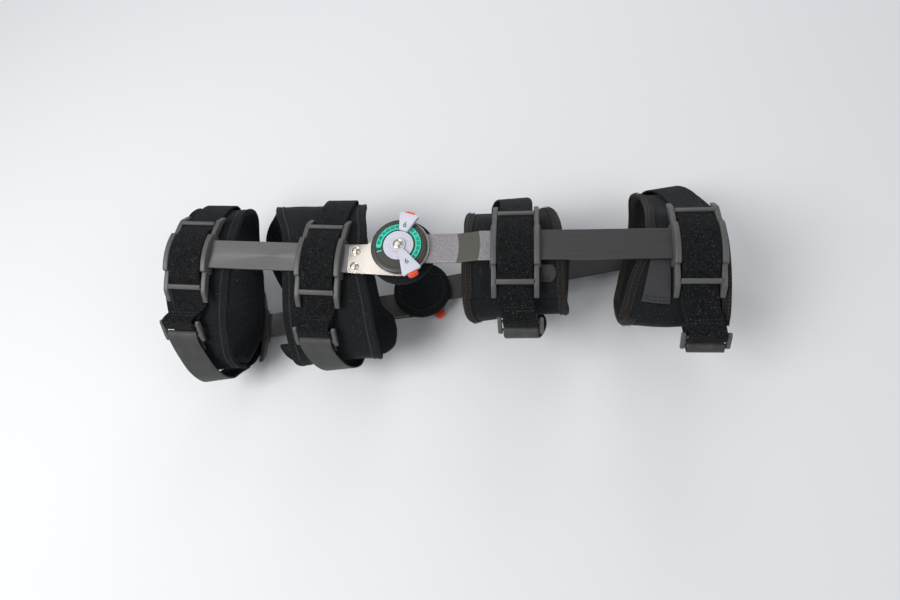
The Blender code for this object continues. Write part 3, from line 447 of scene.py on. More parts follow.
def upright_frame(side):
    """Return where an upright stands."""
    if side == "lateral":
        return Matrix.Translation(KNEE + Vector((0, 0, HALF_GAP)))
    over = Matrix.Rotation(math.pi, 4, "X")
    turn = Matrix.Rotation(TWIST, 4, "Z")
    return Matrix.Translation(KNEE - Vector((0, 0, HALF_GAP))) @ turn @ over


def calf_lift(along):
    """Return how far the calf bar has stepped outwards at a place along it."""
    share = (along - CALF_BEND_START_X) / (CALF_BEND_END_X - CALF_BEND_START_X)
    return CALF_STEP * min(max(share, 0.0), 1.0)


def lie(limb, along, across, height):
    """Take a soft part's point from its straight limb to where it lies."""
    outward = max(-1.0, min(1.0, height / HALF_GAP))
    if limb == "thigh":
        point = limb_frame("thigh", 1) @ Vector((along, across, 0))
        height += outward * max(0.0, THIGH_BEND_X - along) * math.tan(SPLAY)
    else:
        point = Vector((along, across, 0))
        height += outward * calf_lift(along)
    rise = (height + HALF_GAP - TWIST_PLATEAU) / (UPRIGHT_GAP - 2 * TWIST_PLATEAU)
    turn = Matrix.Rotation(TWIST * (1 - smooth_step(rise)), 4, "Z")
    place = turn @ point
    return KNEE + Vector((place.x, place.y, height))


def ring_point(cuff, degrees, front, back, lift):
    """Return a point round the limb, and the direction away from the limb there."""
    power = CUFFS[cuff]["power"]
    half_height = HALF_GAP + CLIP_BASE_LOW - CLEARANCE

    def on_ring(angle):
        side = math.cos(angle)
        rise = math.sin(angle)
        reach = back if side > 0 else front
        across = math.copysign(abs(side) ** (2 / power), side) * reach
        height = math.copysign(abs(rise) ** (2 / power), rise) * half_height
        return Vector((across, height))

    angle = math.radians(degrees)
    nudge = math.radians(2)
    tangent = on_ring(angle + nudge) - on_ring(angle - nudge)
    outward = Vector((tangent.y, -tangent.x)).normalized()
    return on_ring(angle) + outward * lift, outward


def cuff_inset(cuff, degrees):
    """Return how far the inner layer lies inside the outer one."""
    start, end = CUFFS[cuff]["start"], CUFFS[cuff]["end"]
    past = degrees - start - (end - start - 360) - OVERLAP_START
    return (FOAM_THICKNESS + OVERLAP_GAP) * (1 - smooth_step(past / OVERLAP_RUN))


def rim_shift(cuff, share, across):
    """Return how far a cuff's rim lies beyond its middle, at the front or the back."""
    way = 1 if across > 0 else -1
    rims = CUFFS[cuff]["back_rims" if across > 0 else "front_rims"]
    side = 2 * share - 1
    reach = rims[0] if side < 0 else rims[1]
    return way * reach * side * side * smooth_step(abs(across) / RIM_START)


def cuff_edges(cuff, degrees):
    """Return a cuff's left and right edges along its limb at an angle round it."""
    edges = CUFF_EDGES[cuff]
    left = read_table(edges["turn"], edges["left"], degrees)
    right = read_table(edges["turn"], edges["right"], degrees)
    return left, right


def cuff_place(cuff, degrees, share, lift):
    """Return a point of a cuff's outer side, at a share of its width from its left edge."""
    sizes = CUFFS[cuff]
    left, right = cuff_edges(cuff, degrees)
    offset = lift - cuff_inset(cuff, degrees)
    place, outward = ring_point(cuff, degrees, sizes["front"], sizes["back"], offset)
    beside_clip = smooth_step((abs(place.x) - RIM_START) / RIM_REACH)
    place += outward * RIM_LIFT * (2 * share - 1) ** 4 * beside_clip
    place.x += rim_shift(cuff, share, place.x)
    return lie(sizes["limb"], left + (right - left) * share, place.x, place.y)


def cuff_skin(cuff, degrees, share, lift):
    """Return a point above a cuff's finished outer side, with its waviness and seam dents."""
    sizes = CUFFS[cuff]
    seed = list(CUFFS).index(cuff) * 3.1 + 1
    spot = cuff_place(cuff, degrees, share, 0)
    flat, _ = ring_point(cuff, degrees, sizes["front"], sizes["back"], 0)
    away = smooth_step((abs(flat.x) - WAVES_START) / WAVES_REACH)
    wave = sum(ripple(spot, size, depth, seed) for size, depth in WAVES) - WAVES_SINK
    left, right = cuff_edges(cuff, degrees)
    inset = min(share, 1 - share) * (right - left) / looks().seam_inset
    dent = -SEAM_DENT * math.exp(-((inset - 1) / SEAM_DENT_SPREAD) ** 2)
    return cuff_place(cuff, degrees, share, wave * away + dent + lift)


def clip_underside(y):
    """Return the clip's curved underside at a distance from the bar's middle."""
    return CLIP_BASE_LOW - CLIP_RADIUS + math.sqrt(CLIP_RADIUS ** 2 - y ** 2)


def dome_height(y, top):
    """Return the height of the clip's domed middle at a distance from the bar's middle."""
    middle = STRAP_TOP - DOME_RADIUS
    return middle + math.sqrt((top - middle) ** 2 - y ** 2)


def buckle_place(cuff):
    """Return a buckle's middle, and the directions up the strap and away from the limb."""
    sizes = CUFFS[cuff]
    lift = BAND_GAP + STRAP_THICKNESS + LOOP_RADIUS
    middle, outward = ring_point(
        cuff, sizes["buckle"], sizes["strap_front"], sizes["strap_back"], lift
    )
    return middle, Vector((outward.y, -outward.x)), outward


def loop_path(centre, away, outward, thickness):
    """Return a band's outer side from its tail, round a buckle's bar, to its run."""
    radius = LOOP_RADIUS + thickness
    path = [centre + away * TAIL_LENGTH - outward * radius]
    for step in range(7):
        angle = math.pi * step / 6
        turned = -outward * math.cos(angle) - away * math.sin(angle)
        path.append(centre + turned * radius)
    path.append(centre + away * LOOP_RUN + outward * radius)
    return path


def over_clip(way):
    """Return a strap's outer side over one upright's clip, from its front to its back."""
    ys = (-0.038, -0.033, -0.0265, -0.0205, -0.015, -0.008, 0)
    ys += tuple(-y for y in reversed(ys[:-1]))
    return [Vector((y, way * (HALF_GAP + dome_height(y, STRAP_TOP)))) for y in ys]


def ring_angle(cuff, reach, across):
    """Return the angle up from the front or back at which a ring is a distance across."""
    return math.degrees(math.acos((across / reach) ** (CUFFS[cuff]["power"] / 2)))


def ring_run(cuff, first, last, step, front, back, lift):
    """Return points round the limb between two angles."""
    count = max(2, round(abs(last - first) / step))
    turns = spread(first, last, count)
    return [ring_point(cuff, degrees, front, back, lift)[0] for degrees in turns]


def strap_path(cuff):
    """Return the napped strap's outer side, from the buckle to its end past the far clip."""
    sizes = CUFFS[cuff]
    front, back = sizes["strap_front"], sizes["strap_back"]
    lift = STRAP_THICKNESS + BAND_GAP
    middle, upward, outward = buckle_place(cuff)
    path = loop_path(middle + upward * BUCKLE_BAR_PLACE, upward, outward, STRAP_THICKNESS)
    leaves = 180 - ring_angle(cuff, front, BAND_LEAVES_CLIP)
    path += ring_run(cuff, sizes["buckle"] - STRAP_LEAVES_BUCKLE, leaves, 14, front, back, lift)
    path += over_clip(1)
    leaves = ring_angle(cuff, back, BAND_LEAVES_CLIP)
    path += ring_run(cuff, leaves, -leaves, 13, front, back, lift)
    path += reversed(over_clip(-1))
    front = sizes["webbing_front"]
    leaves, end = (180 + ring_angle(cuff, front, y) for y in (BAND_LEAVES_CLIP, STRAP_END))
    path += ring_run(cuff, leaves, end, 7, front, back, lift)
    return path


def webbing_path(cuff):
    """Return the webbing's outer side, from its end at the far clip to the buckle."""
    sizes = CUFFS[cuff]
    front = sizes["webbing_front"]
    middle, upward, outward = buckle_place(cuff)
    path = loop_path(middle - upward * BUCKLE_BAR_PLACE, -upward, outward, WEBBING_THICKNESS)
    buckle_lift = BAND_GAP + STRAP_THICKNESS + 2 * LOOP_RADIUS + WEBBING_THICKNESS
    end_lift = STRAP_THICKNESS + 2 * BAND_GAP + WEBBING_THICKNESS
    first = sizes["buckle"] + WEBBING_LEAVES_BUCKLE
    last = 180 + ring_angle(cuff, front, WEBBING_END)
    for degrees in spread(first, last, round((last - first) / 12)):
        slack = smooth_step((degrees - sizes["buckle"]) / WEBBING_SLACK_RUN)
        reach = sizes["strap_front"] + (front - sizes["strap_front"]) * slack
        lift = buckle_lift + (end_lift - buckle_lift) * slack
        path.append(ring_point(cuff, degrees, reach, sizes["strap_back"], lift)[0])
    path.reverse()
    return path


def strap_middle(cuff, across):
    """Return the middle of a strap along its limb, which leans away from the clips."""
    if across > 0:
        return CLIP_XS[cuff] + CUFFS[cuff]["lean_back"] * smooth_step(
            (across - LEAN_START) / LEAN_REACH
        )
    middle, upward, _ = buckle_place(cuff)
    buckle = -(middle + upward * BUCKLE_BAR_PLACE).x
    past = smooth_step((-across - LEAN_START) / (buckle - LEAN_START))
    return CLIP_XS[cuff] + CUFFS[cuff]["lean_front"] * past


def rounded_path(path, step):
    """Return a smooth line through a path's points, with points a step apart."""
    line = []
    for index in range(len(path) - 1):
        before = path[max(index - 1, 0)]
        first, second = path[index], path[index + 1]
        after = path[min(index + 2, len(path) - 1)]
        count = max(1, round((second - first).length / step))
        for part in range(count):
            t = part / count
            start_pull = (second - before) * 0.5
            end_pull = (after - first) * 0.5
            longest = (second - first).length
            start_pull *= min(1.0, longest / max(start_pull.length, 1e-9))
            end_pull *= min(1.0, longest / max(end_pull.length, 1e-9))
            line.append(
                first * (2 * t ** 3 - 3 * t ** 2 + 1) + start_pull * (t ** 3 - 2 * t ** 2 + t)
                + second * (-2 * t ** 3 + 3 * t ** 2) + end_pull * (t ** 3 - t ** 2)
            )
    return [*line, path[-1]]


# Modelling helpers

def deselect_all():
    """Leave nothing selected."""
    if bpy.context.object and bpy.context.object.mode != "OBJECT":
        bpy.ops.object.mode_set(mode="OBJECT")
    bpy.ops.object.select_all(action="DESELECT")


def choose(piece):
    """Make one piece the only one selected."""
    deselect_all()
    piece.select_set(True)
    bpy.context.view_layer.objects.active = piece


@contextmanager
def editing(piece):
    """Work in edit mode on the whole of a piece's mesh."""
    choose(piece)
    bpy.ops.object.mode_set(mode="EDIT")
    bpy.ops.mesh.select_all(action="SELECT")
    yield
    bpy.ops.object.mode_set(mode="OBJECT")


def face_outwards(piece):
    """Point all of a piece's faces outwards."""
    with editing(piece):
        bpy.ops.mesh.normals_make_consistent(inside=False)


def settle(piece, name):
    """Name a new piece and put its place into its mesh."""
    piece.name = name
    piece.data.name = name
    piece.data.transform(piece.matrix_world)
    piece.matrix_world = Matrix()
    return piece


def put(piece, matrix):
    """Move a piece's mesh to its place, with its faces outwards."""
    piece.data.transform(matrix)
    if matrix.determinant() < 0:
        piece.data.flip_normals()
    return piece


def round_edges(piece, width, segments, degrees=30):
    """Round a piece's sharp edges."""
    edges = piece.modifiers.new("edges", "BEVEL")
    edges.width = width
    edges.segments = segments
    edges.limit_method = "ANGLE"
    edges.angle_limit = math.radians(degrees)
    edges.harden_normals = False


def apply_all(piece):
    """Apply a piece's modifiers in order."""
    choose(piece)
    for modifier in list(piece.modifiers):
        bpy.ops.object.modifier_apply(modifier=modifier.name)


def rounded(piece, width, segments, degrees=30):
    """Round a piece's sharp edges, for good."""
    round_edges(piece, width, segments, degrees)
    apply_all(piece)
    return piece


def smooth(piece, degrees=35):
    """Shade a piece smooth up to an angle."""
    choose(piece)
    bpy.ops.object.shade_smooth_by_angle(angle=math.radians(degrees))


def rectangle(left, right, front, back):
    """Return the outline of a rectangle."""
    return [(left, front), (right, front), (right, back), (left, back)]


def arc(centre, reach, first, last, steps):
    """Return points on an arc between two angles in degrees."""
    turns = [math.radians(degrees) for degrees in spread(first, last, steps)]
    return [
        (centre[0] + reach[0] * math.cos(turn), centre[1] + reach[1] * math.sin(turn))
        for turn in turns
    ]


def outlined(points, fill):
    """Add a circle and move its points to an outline."""
    deselect_all()
    bpy.ops.mesh.primitive_circle_add(vertices=len(points), radius=1, fill_type=fill)
    piece = bpy.context.object
    for vertex, point in zip(piece.data.vertices, points):
        vertex.co = point
    return piece


def slab(name, outline, low, high, edge=0.0, segments=2):
    """Model a plate from an outline in X and Y, extruded between two heights."""
    piece = outlined([(x, y, low) for x, y in outline], "NGON")
    with editing(piece):
        bpy.ops.mesh.extrude_region_move(TRANSFORM_OT_translate={"value": (0, 0, high - low)})
        bpy.ops.mesh.select_all(action="SELECT")
        bpy.ops.mesh.normals_make_consistent(inside=False)
    settle(piece, name)
    return rounded(piece, edge, segments) if edge else piece


def spun(name, profile, steps):
    """Model a solid turned about Z from a profile of (radius, height) points."""
    piece = outlined([(radius, 0, height) for radius, height in profile], "NOTHING")
    with editing(piece):
        bpy.ops.mesh.spin(steps=steps, angle=2 * math.pi, center=(0, 0, 0), axis=(0, 0, 1))
        bpy.ops.mesh.select_all(action="SELECT")
        bpy.ops.mesh.remove_doubles(threshold=MERGE_DISTANCE)
        bpy.ops.mesh.normals_make_consistent(inside=False)
    settle(piece, name)
    smooth(piece)
    return piece


def stand_up(piece, low, high):
    """Turn a slab drawn in (y, w) so that it runs along X between two places."""
    turn = Matrix(((0, 0, 1, 0), (1, 0, 0, 0), (0, 1, 0, 0), (0, 0, 0, 1)))
    return put(piece, Matrix.Translation((low, 0, 0)) @ turn)


def joined(name, pieces):
    """Join several pieces in one."""
    deselect_all()
    for piece in pieces:
        piece.select_set(True)
    bpy.context.view_layer.objects.active = pieces[0]
    bpy.ops.object.join()
    whole = bpy.context.object
    whole.name = name
    whole.data.name = name
    return whole


def copied(piece, name):
    """Copy a piece with its own mesh."""
    twin = piece.copy()
    twin.data = piece.data.copy()
    twin.name = name
    twin.data.name = name
    bpy.context.scene.collection.objects.link(twin)
    return twin


def traced(node, name):
    """Copy a frame node's shape with its loose triangles merged."""
    twin = copied(frame["nodes"][node], name)
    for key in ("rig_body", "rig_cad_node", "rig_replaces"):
        if key in twin:
            del twin[key]
    twin.parent = None
    twin.hide_render = False
    with editing(twin):
        bpy.ops.mesh.remove_doubles(threshold=MERGE_DISTANCE)
        bpy.ops.mesh.dissolve_limited(angle_limit=math.radians(1))
    return twin


def cloth_grid(name, rows, across_lengths, along_lengths):
    """Model a sheet through rows of points, with a UV map in metres."""
    deselect_all()
    wide = len(rows[0])
    bpy.ops.mesh.primitive_grid_add(
        x_subdivisions=wide - 1, y_subdivisions=len(rows) - 1, size=1
    )
    piece = bpy.context.object
    mesh = piece.data
    for index, vertex in enumerate(mesh.vertices):
        vertex.co = rows[index // wide][index % wide]
    layer = mesh.uv_layers.active or mesh.uv_layers.new(name="UVMap")
    for loop in mesh.loops:
        index = loop.vertex_index
        layer.data[loop.index].uv = (along_lengths[index % wide], across_lengths[index // wide])
    piece.name = name
    mesh.name = name
    mesh.update()
    return piece


def thicken(piece, thickness, edge, segments=2):
    """Give a sheet its thickness, away from its outer side, and round its rims."""
    wall = piece.modifiers.new("wall", "SOLIDIFY")
    wall.thickness = thickness
    wall.offset = -1
    wall.use_even_offset = True
    round_edges(piece, edge, segments, 60)
    apply_all(piece)
    piece.data.shade_smooth()
    return piece


def dress(piece, finish_name, body, slot, *nodes):
    """Give a piece its finish, the body that carries it and the nodes that it stands for."""
    piece.data.materials.clear()
    piece.data.materials.append(finish(finish_name))
    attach(piece, body)
    if nodes:
        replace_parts(piece, *nodes)
    return piece


# Finishes

class Finish:
    """A procedural material, put together from its shader outwards."""

    def __init__(self, name, colour, roughness, metallic=0.0):
        self.material = bpy.data.materials.new(name)
        self.material.use_nodes = True
        self.tree = self.material.node_tree
        self.shader = self.tree.nodes["Principled BSDF"]
        self.colour = colour
        self.level("Base Color", (*colour, 1))
        self.level("Roughness", roughness)
        self.level("Metallic", metallic)

    def level(self, socket, value):
        """Set one of the shader's own sockets."""
        self.shader.inputs[socket].default_value = value

    def feed(self, value, socket):
        """Link an output to a socket, or set the socket to a number or a colour."""
        if isinstance(value, bpy.types.NodeSocket):
            self.tree.links.new(value, socket)
        else:
            socket.default_value = value

    def node(self, kind, vector=None, **values):
        """Add a node, feed it coordinates and set its sockets by name."""
        made = self.tree.nodes.new(kind)
        if vector:
            self.feed(vector, made.inputs["Vector"])
        for key, value in values.items():
            if key in made.inputs:
                made.inputs[key].default_value = value
            else:
                setattr(made, key, value)
        return made

    def coordinates(self, kind="Object", scale=(1, 1, 1)):
        """Return object or UV coordinates, scaled."""
        source = self.node("ShaderNodeTexCoord")
        parts = tuple(1 / part for part in scale)
        mapping = self.node(
            "ShaderNodeMapping", source.outputs[kind], vector_type="TEXTURE", Scale=parts
        )
        return mapping.outputs["Vector"]

    def grain(self, vector, scale, detail=3.0, roughness=0.55):
        """Return noise at a scale."""
        return self.node(
            "ShaderNodeTexNoise", vector, Scale=scale, Detail=detail, Roughness=roughness
        ).outputs["Fac"]

    def bands(self, vector, way, scale, distortion):
        """Return soft bands, one after another along X or Y."""
        return self.node(
            "ShaderNodeTexWave", vector, wave_type="BANDS", bands_direction=way,
            Scale=scale, Distortion=distortion,
        ).outputs["Fac"]

    def specks(self, vector, scale, size):
        """Return small dots, one to a cell, some of them left out."""
        cells = self.node("ShaderNodeTexVoronoi", vector, Scale=scale)
        near = self.ramp(cells.outputs["Distance"], (size * 0.5, 1.0), (size, 0.0))
        chosen = self.ramp(self.grain(vector, scale * 0.37, 1.0), (0.52, 0.0), (0.6, 1.0))
        return self.sum(near, chosen, "MULTIPLY")

    def ramp(self, value, *stops):
        """Return a value read through a ramp of (place, level) stops."""
        made = self.node("ShaderNodeValToRGB")
        for element, (place, level) in zip(made.color_ramp.elements, stops):
            element.position = place
            element.color = (level, level, level, 1)
        self.feed(value, made.inputs["Fac"])
        return made.outputs["Color"]

    def sum(self, first, second, operation="ADD"):
        """Combine two values, either of which may be a number."""
        made = self.node("ShaderNodeMath", operation=operation)
        self.feed(first, made.inputs[0])
        self.feed(second, made.inputs[1])
        return made.outputs["Value"]

    def vector(self, operation, output, *values):
        """Combine vectors, some of which may be constants."""
        made = self.node("ShaderNodeVectorMath", operation=operation)
        for socket, value in zip(made.inputs, values):
            self.feed(value, socket)
        return made.outputs[output]

    def mix(self, share, first, second):
        """Return a colour between two, each a colour or a socket."""
        made = self.node("ShaderNodeMix", data_type="RGBA")
        self.feed(share, made.inputs["Factor"])
        for socket, value in ((made.inputs[6], first), (made.inputs[7], second)):
            self.feed((*value, 1) if isinstance(value, tuple) else value, socket)
        return made.outputs[2]

    def tones(self, share, darker, lighter):
        """Return the finish's own colour, from a darker to a lighter tone."""
        return self.mix(share, self.tone(darker), self.tone(lighter))

    def tone(self, factor):
        """Return the finish's colour made lighter or darker."""
        return tuple(min(1.0, part * factor) for part in self.colour)

    def paint(self, colour):
        """Lead a colour to the shader."""
        self.feed(colour, self.shader.inputs["Base Color"])

    def gloss(self, value, low, high):
        """Drive roughness between two levels by a value."""
        made = self.node("ShaderNodeMapRange")
        made.inputs["To Min"].default_value = low
        made.inputs["To Max"].default_value = high
        self.feed(value, made.inputs["Value"])
        self.feed(made.outputs["Result"], self.shader.inputs["Roughness"])

    def relief(self, height, strength, distance):
        """Raise the surface by a height."""
        made = self.node("ShaderNodeBump", Strength=strength, Distance=distance)
        self.feed(height, made.inputs["Height"])
        self.feed(made.outputs["Normal"], self.shader.inputs["Normal"])

    def velvet(self, weight, roughness, tint, shine):
        """Give a cloth its sheen, and dull its shine."""
        self.level("Sheen Weight", weight)
        self.level("Sheen Roughness", roughness)
        self.level("Sheen Tint", (*tint, 1))
        self.level("Specular IOR Level", shine)


def make_foam_cover():
    """Brushed knit laminated on foam, nearly black, with a little lint."""
    made = Finish("foam_cover", tuple(looks().foam_colour), 0.92)
    place = made.coordinates()
    nap = made.grain(place, 900, 2.0, 0.7)
    cloud = made.grain(place, 28, 4.0, 0.6)
    tone = made.tones(made.ramp(cloud, (0.35, 0.0), (0.68, 1.0)), 0.72, 1.7)
    fibres = made.mix(made.ramp(nap, (0.50, 0.0), (0.68, 1.0)), tone, made.tone(4.5))
    lint = made.specks(place, 330, 0.155)
    made.paint(made.mix(lint, fibres, (0.12, 0.13, 0.14)))
    made.relief(made.sum(made.sum(nap, 0.6, "MULTIPLY"), cloud), 0.55, 0.0006)
    made.velvet(0.04, 0.45, (0.75, 0.85, 0.9), 0.25)
    return made.material


def make_loop_nap():
    """Napped loop strap: black, with painted highlights on the loops that catch the light, and pale
    lint.
    """
    made = Finish("loop_nap", tuple(looks().strap_colour), 0.95)
    place = made.coordinates()
    loops = made.grain(place, 760, 3.0, 0.75)
    tufts = made.grain(place, 200, 2.0, 0.6)
    tone = made.tones(made.ramp(tufts, (0.35, 0.0), (0.7, 1.0)), 0.55, 1.8)
    # painted highlights: the tops of the loops are painted much lighter where they catch the light
    bright = made.mix(made.ramp(loops, (0.52, 0.0), (0.64, 1.0)), tone, made.tone(8.5))
    lint = made.specks(place, 420, 0.17)
    made.paint(made.mix(lint, bright, (0.17, 0.18, 0.18)))
    made.relief(made.sum(loops, made.sum(tufts, 0.8, "MULTIPLY")), 0.9, 0.0011)
    made.velvet(0.04, 0.4, (0.8, 0.85, 0.9), 0.2)
    return made.material


def make_webbing_weave():
    """Smooth flat webbing with a fine rib across it."""
    made = Finish("webbing_weave", tuple(looks().webbing_colour), 0.55)
    place = made.coordinates("UV")
    ribs = made.bands(place, "Y", 260, 0.8)
    picks = made.bands(place, "X", 330, 1.2)
    weave = made.sum(ribs, picks, "MULTIPLY")
    wear = made.grain(place, 60, 4.0)
    tone = made.tones(weave, 0.55, 1.25)
    made.paint(made.mix(made.ramp(wear, (0.45, 0.0), (0.8, 0.5)), tone, made.tone(1.9)))
    made.relief(weave, 0.6, 0.0003)
    made.gloss(wear, 0.42, 0.62)
    return made.material


def make_hook_tape():
    """Grey hook tape: rows of tiny stiff hooks."""
    made = Finish("hook_tape", (0.036, 0.036, 0.040), 0.7)
    place = made.coordinates("UV")
    hooks = made.node("ShaderNodeTexVoronoi", place, Scale=900, Randomness=0.25)
    dots = made.ramp(hooks.outputs["Distance"], (0.15, 1.0), (0.5, 0.0))
    made.paint(made.tones(dots, 0.6, 1.9))
    made.relief(dots, 0.7, 0.0005)
    return made.material


def make_binding_tape():
    """Brownish black ribbed tape folded over a rim."""
    made = Finish("binding_tape", (0.0125, 0.0105, 0.0088), 0.85)
    place = made.coordinates("UV")
    ribs = made.bands(place, "X", 420, 1.0)
    fluff = made.grain(place, 900, 3.0)
    made.paint(made.tones(made.ramp(fluff, (0.4, 0.0), (0.75, 1.0)), 0.7, 2.4))
    made.relief(made.sum(ribs, fluff), 0.6, 0.0004)
    made.velvet(0.06, 0.5, (0.9, 0.85, 0.8), 0.25)
    return made.material


def make_thread(name):
    """Twisted sewing thread."""
    made = Finish(name, THREADS[name], 0.75)
    twist = made.grain(made.coordinates(), 2600, 2.0)
    made.paint(made.tones(twist, 0.7, 1.9))
    made.relief(twist, 0.4, 0.0002)
    return made.material


def make_thigh_bar_metal():
    """Grey anodised aluminium, brushed along the bar."""
    made = Finish("thigh_bar_metal", (0.165, 0.162, 0.160), 0.42, 0.6)
    lines = made.grain(made.coordinates(scale=BRUSHED), 1.0, 3.0)
    blotch = made.grain(made.coordinates(), 45, 3.0)
    made.paint(made.tones(lines, 0.80, 1.22))
    made.gloss(blotch, 0.34, 0.5)
    made.relief(lines, 0.12, 0.0002)
    made.level("Anisotropic", 0.5)
    return made.material


def make_calf_bar_metal():
    """Anodised aluminium, dark and brushed, with a painted reflection on the outer bar from its
    hinge to its clip: pale and grained, olive on the bend.
    """
    made = Finish("calf_bar_metal", (0.070, 0.067, 0.068), 0.45, 0.6)
    place = made.coordinates()
    from_knee = made.vector("SUBTRACT", "Vector", place, KNEE)
    level = made.vector("MULTIPLY", "Vector", from_knee, (1, 1, 0))
    beyond = made.vector("LENGTH", "Value", level)
    start = made.sum(CALF_BEND_START_X, beyond, "LESS_THAN")
    end = made.sum(CALF_BEND_END_X, beyond, "LESS_THAN")
    specks = made.ramp(made.grain(place, 1100, 2.0, 0.7), (0.38, 0.0), (0.62, 1.0))
    # painted reflection: the outer calf bar up to its clip is painted pale and grained, olive on
    # the bend, and keeps its own dark colour elsewhere
    pale = made.mix(specks, (0.20, 0.187, 0.20), (0.37, 0.35, 0.37))
    olive_bend_reflection = made.mix(specks, (0.088, 0.088, 0.073), (0.112, 0.112, 0.096))
    lines = made.grain(made.coordinates(scale=BRUSHED), 1.0, 3.0)
    dark = made.tones(lines, 0.8, 1.35)
    parts = made.node("ShaderNodeSeparateXYZ", from_knee)
    inner_bar = made.sum(parts.outputs["Z"], 0.0, "LESS_THAN")
    past_clip = made.sum(CLIP_XS["calf_upper"], beyond, "LESS_THAN")
    far = made.sum(past_clip, inner_bar, "MAXIMUM")
    near = made.mix(end, made.mix(start, pale, olive_bend_reflection), pale)
    made.paint(made.mix(far, near, dark))
    made.gloss(specks, 0.40, 0.52)
    made.relief(specks, 0.10, 0.0002)
    return made.material


def make_nickel():
    """Nickel plate, bright and a little uneven."""
    made = Finish("nickel", (0.81, 0.74, 0.65), 0.22, 1.0)
    smear = made.grain(made.coordinates(), 90, 4.0)
    scratches = made.grain(made.coordinates(scale=(60, 2200, 400)), 1.0, 2.0)
    made.paint(made.mix(smear, made.tone(0.84), (0.91, 0.85, 0.77)))
    made.gloss(smear, 0.14, 0.30)
    made.relief(made.sum(scratches, 0.4, "MULTIPLY"), 0.12, 0.0002)
    return made.material


def make_moulded(name):
    """A moulded plastic or a print on it, with a fine grain and slightly uneven gloss."""
    colour, roughness, grain_scale, strength, metallic = MOULDED[name]
    if isinstance(colour, str):
        colour = tuple(getattr(looks(), colour))
    made = Finish(name, colour, roughness, metallic)
    place = made.coordinates()
    fine = made.grain(place, grain_scale, 2.0)
    broad = made.grain(place, 55, 4.0)
    made.paint(made.tones(broad, 0.85, 1.18))
    made.gloss(broad, roughness - 0.07, roughness + 0.1)
    made.relief(fine, strength, 0.0002)
    return made.material


FINISH_MAKERS = {
    "foam_cover": make_foam_cover,
    "loop_nap": make_loop_nap,
    "webbing_weave": make_webbing_weave,
    "hook_tape": make_hook_tape,
    "binding_tape": make_binding_tape,
    "thigh_bar_metal": make_thigh_bar_metal,
    "calf_bar_metal": make_calf_bar_metal,
    "nickel": make_nickel,
}
FINISHES = {}


def finish(name):
    """Return a finish by name, made the first time it is asked for."""
    if name not in FINISHES:
        if name in MOULDED:
            FINISHES[name] = make_moulded(name)
        elif name in THREADS:
            FINISHES[name] = make_thread(name)
        else:
            FINISHES[name] = FINISH_MAKERS[name]()
    return FINISHES[name]


# Bars and hinges

def make_bars(side):
    """The thigh bar and the calf bar of one upright, with rounded edges."""
    for limb in ("thigh", "calf"):
        node = f"{side}_{limb}_bar"
        bar = rounded(traced(node, f"{node}_shape"), METAL_EDGE, 2)
        smooth(bar, 10)
        dress(bar, f"{limb}_bar_metal", limb, f"{limb}_bar", node)


def make_hinge_plate(side, hand):
    """The nickel plate with its rolled edge, and its two domed rivets."""
    node = f"{side}_hinge_plate"
    plate = rounded(traced(node, f"{node}_shape"), METAL_EDGE, 3)
    smooth(plate)
    dress(plate, "nickel", "thigh", "nickel", node)
    low = PLATE_HIGH + CLEARANCE
    rim = low + RIVET_RIM
    profile = [(0, low), (RIVET_RADIUS, low), (RIVET_RADIUS, rim)]
    profile += arc((0, rim), (RIVET_RADIUS - 0.0005, 0.0019), 0, 90, 7)
    for (x, y), place in zip(RIVET_PLACES, ("upper", "lower")):
        rivet = spun(f"{side}_rivet_{place}_head", profile, 40)
        put(rivet, upright_frame(side) @ Matrix.Translation((x, hand * y, 0)))
        dress(rivet, "nickel", "thigh", "nickel", f"{side}_rivet_{place}")


def make_bolt(side):
    """The bolt on the knee's axis, with a domed head that was peened over."""
    foot = PAD_HIGH + CLEARANCE
    head = RING_LOW + 2 * RING_THICKNESS + 2 * CLEARANCE
    rim = head + BOLT_RIM
    profile = [
        (0, foot), (BOLT_FOOT_RADIUS, foot), (BOLT_FOOT_RADIUS, -CLEARANCE),
        (BOLT_RADIUS, -CLEARANCE), (BOLT_RADIUS, head), (BOLT_HEAD_RADIUS, head),
        (BOLT_HEAD_RADIUS, rim),
    ]
    profile += arc((0, rim), (BOLT_HEAD_RADIUS - 0.0003, DIAL_TOP - rim), 0, 90, 6)
    bolt = put(spun(f"{side}_hinge_bolt_head", profile, 48), upright_frame(side))
    dress(bolt, "nickel", "thigh", "nickel", f"{side}_hinge_bolt")


def make_cover(side):
    """The dial cover, with a chamfered rim and a shallow ring under the scale."""
    groove = COVER_HIGH - 0.0003
    profile = [
        (BORE_RADIUS, COVER_LOW), (COVER_RADIUS, COVER_LOW), (COVER_RADIUS, COVER_HIGH - 0.0013),
        (COVER_RADIUS - 0.0004, COVER_HIGH - 0.0006), (COVER_RADIUS - 0.0014, COVER_HIGH),
        (SCALE_OUTER + 0.0011, COVER_HIGH), (SCALE_OUTER + 0.0008, groove),
        (SCALE_OUTER + 0.0004, groove), (SCALE_OUTER + 0.0002, COVER_HIGH),
        (BORE_RADIUS, COVER_HIGH),
    ]
    cover = put(spun(f"{side}_dial_cover_shape", profile, 96), upright_frame(side))
    dress(cover, "cover_plastic", "thigh", "cover_plastic", f"{side}_dial_cover")


def flat_text(name, words, size, matrix):
    """Model thin raised characters and put them in place."""
    deselect_all()
    bpy.ops.object.text_add()
    text = bpy.context.object
    text.data.body = words
    text.data.size = size
    text.data.align_x = "CENTER"
    text.data.align_y = "CENTER"
    text.data.extrude = PRINT_HALF
    text.data.offset = STROKE_WEIGHT
    text.data.resolution_u = 3
    bpy.ops.object.convert(target="MESH")
    return put(settle(bpy.context.object, name), matrix)


def on_dial(side, hand, height, degrees):
    """Return a place just above a height on a dial, turned to an angle on it."""
    raised = Matrix.Translation((0, 0, height + PRINT_LIFT))
    return upright_frame(side) @ raised @ Matrix.Rotation(math.radians(hand * degrees), 4, "Z")


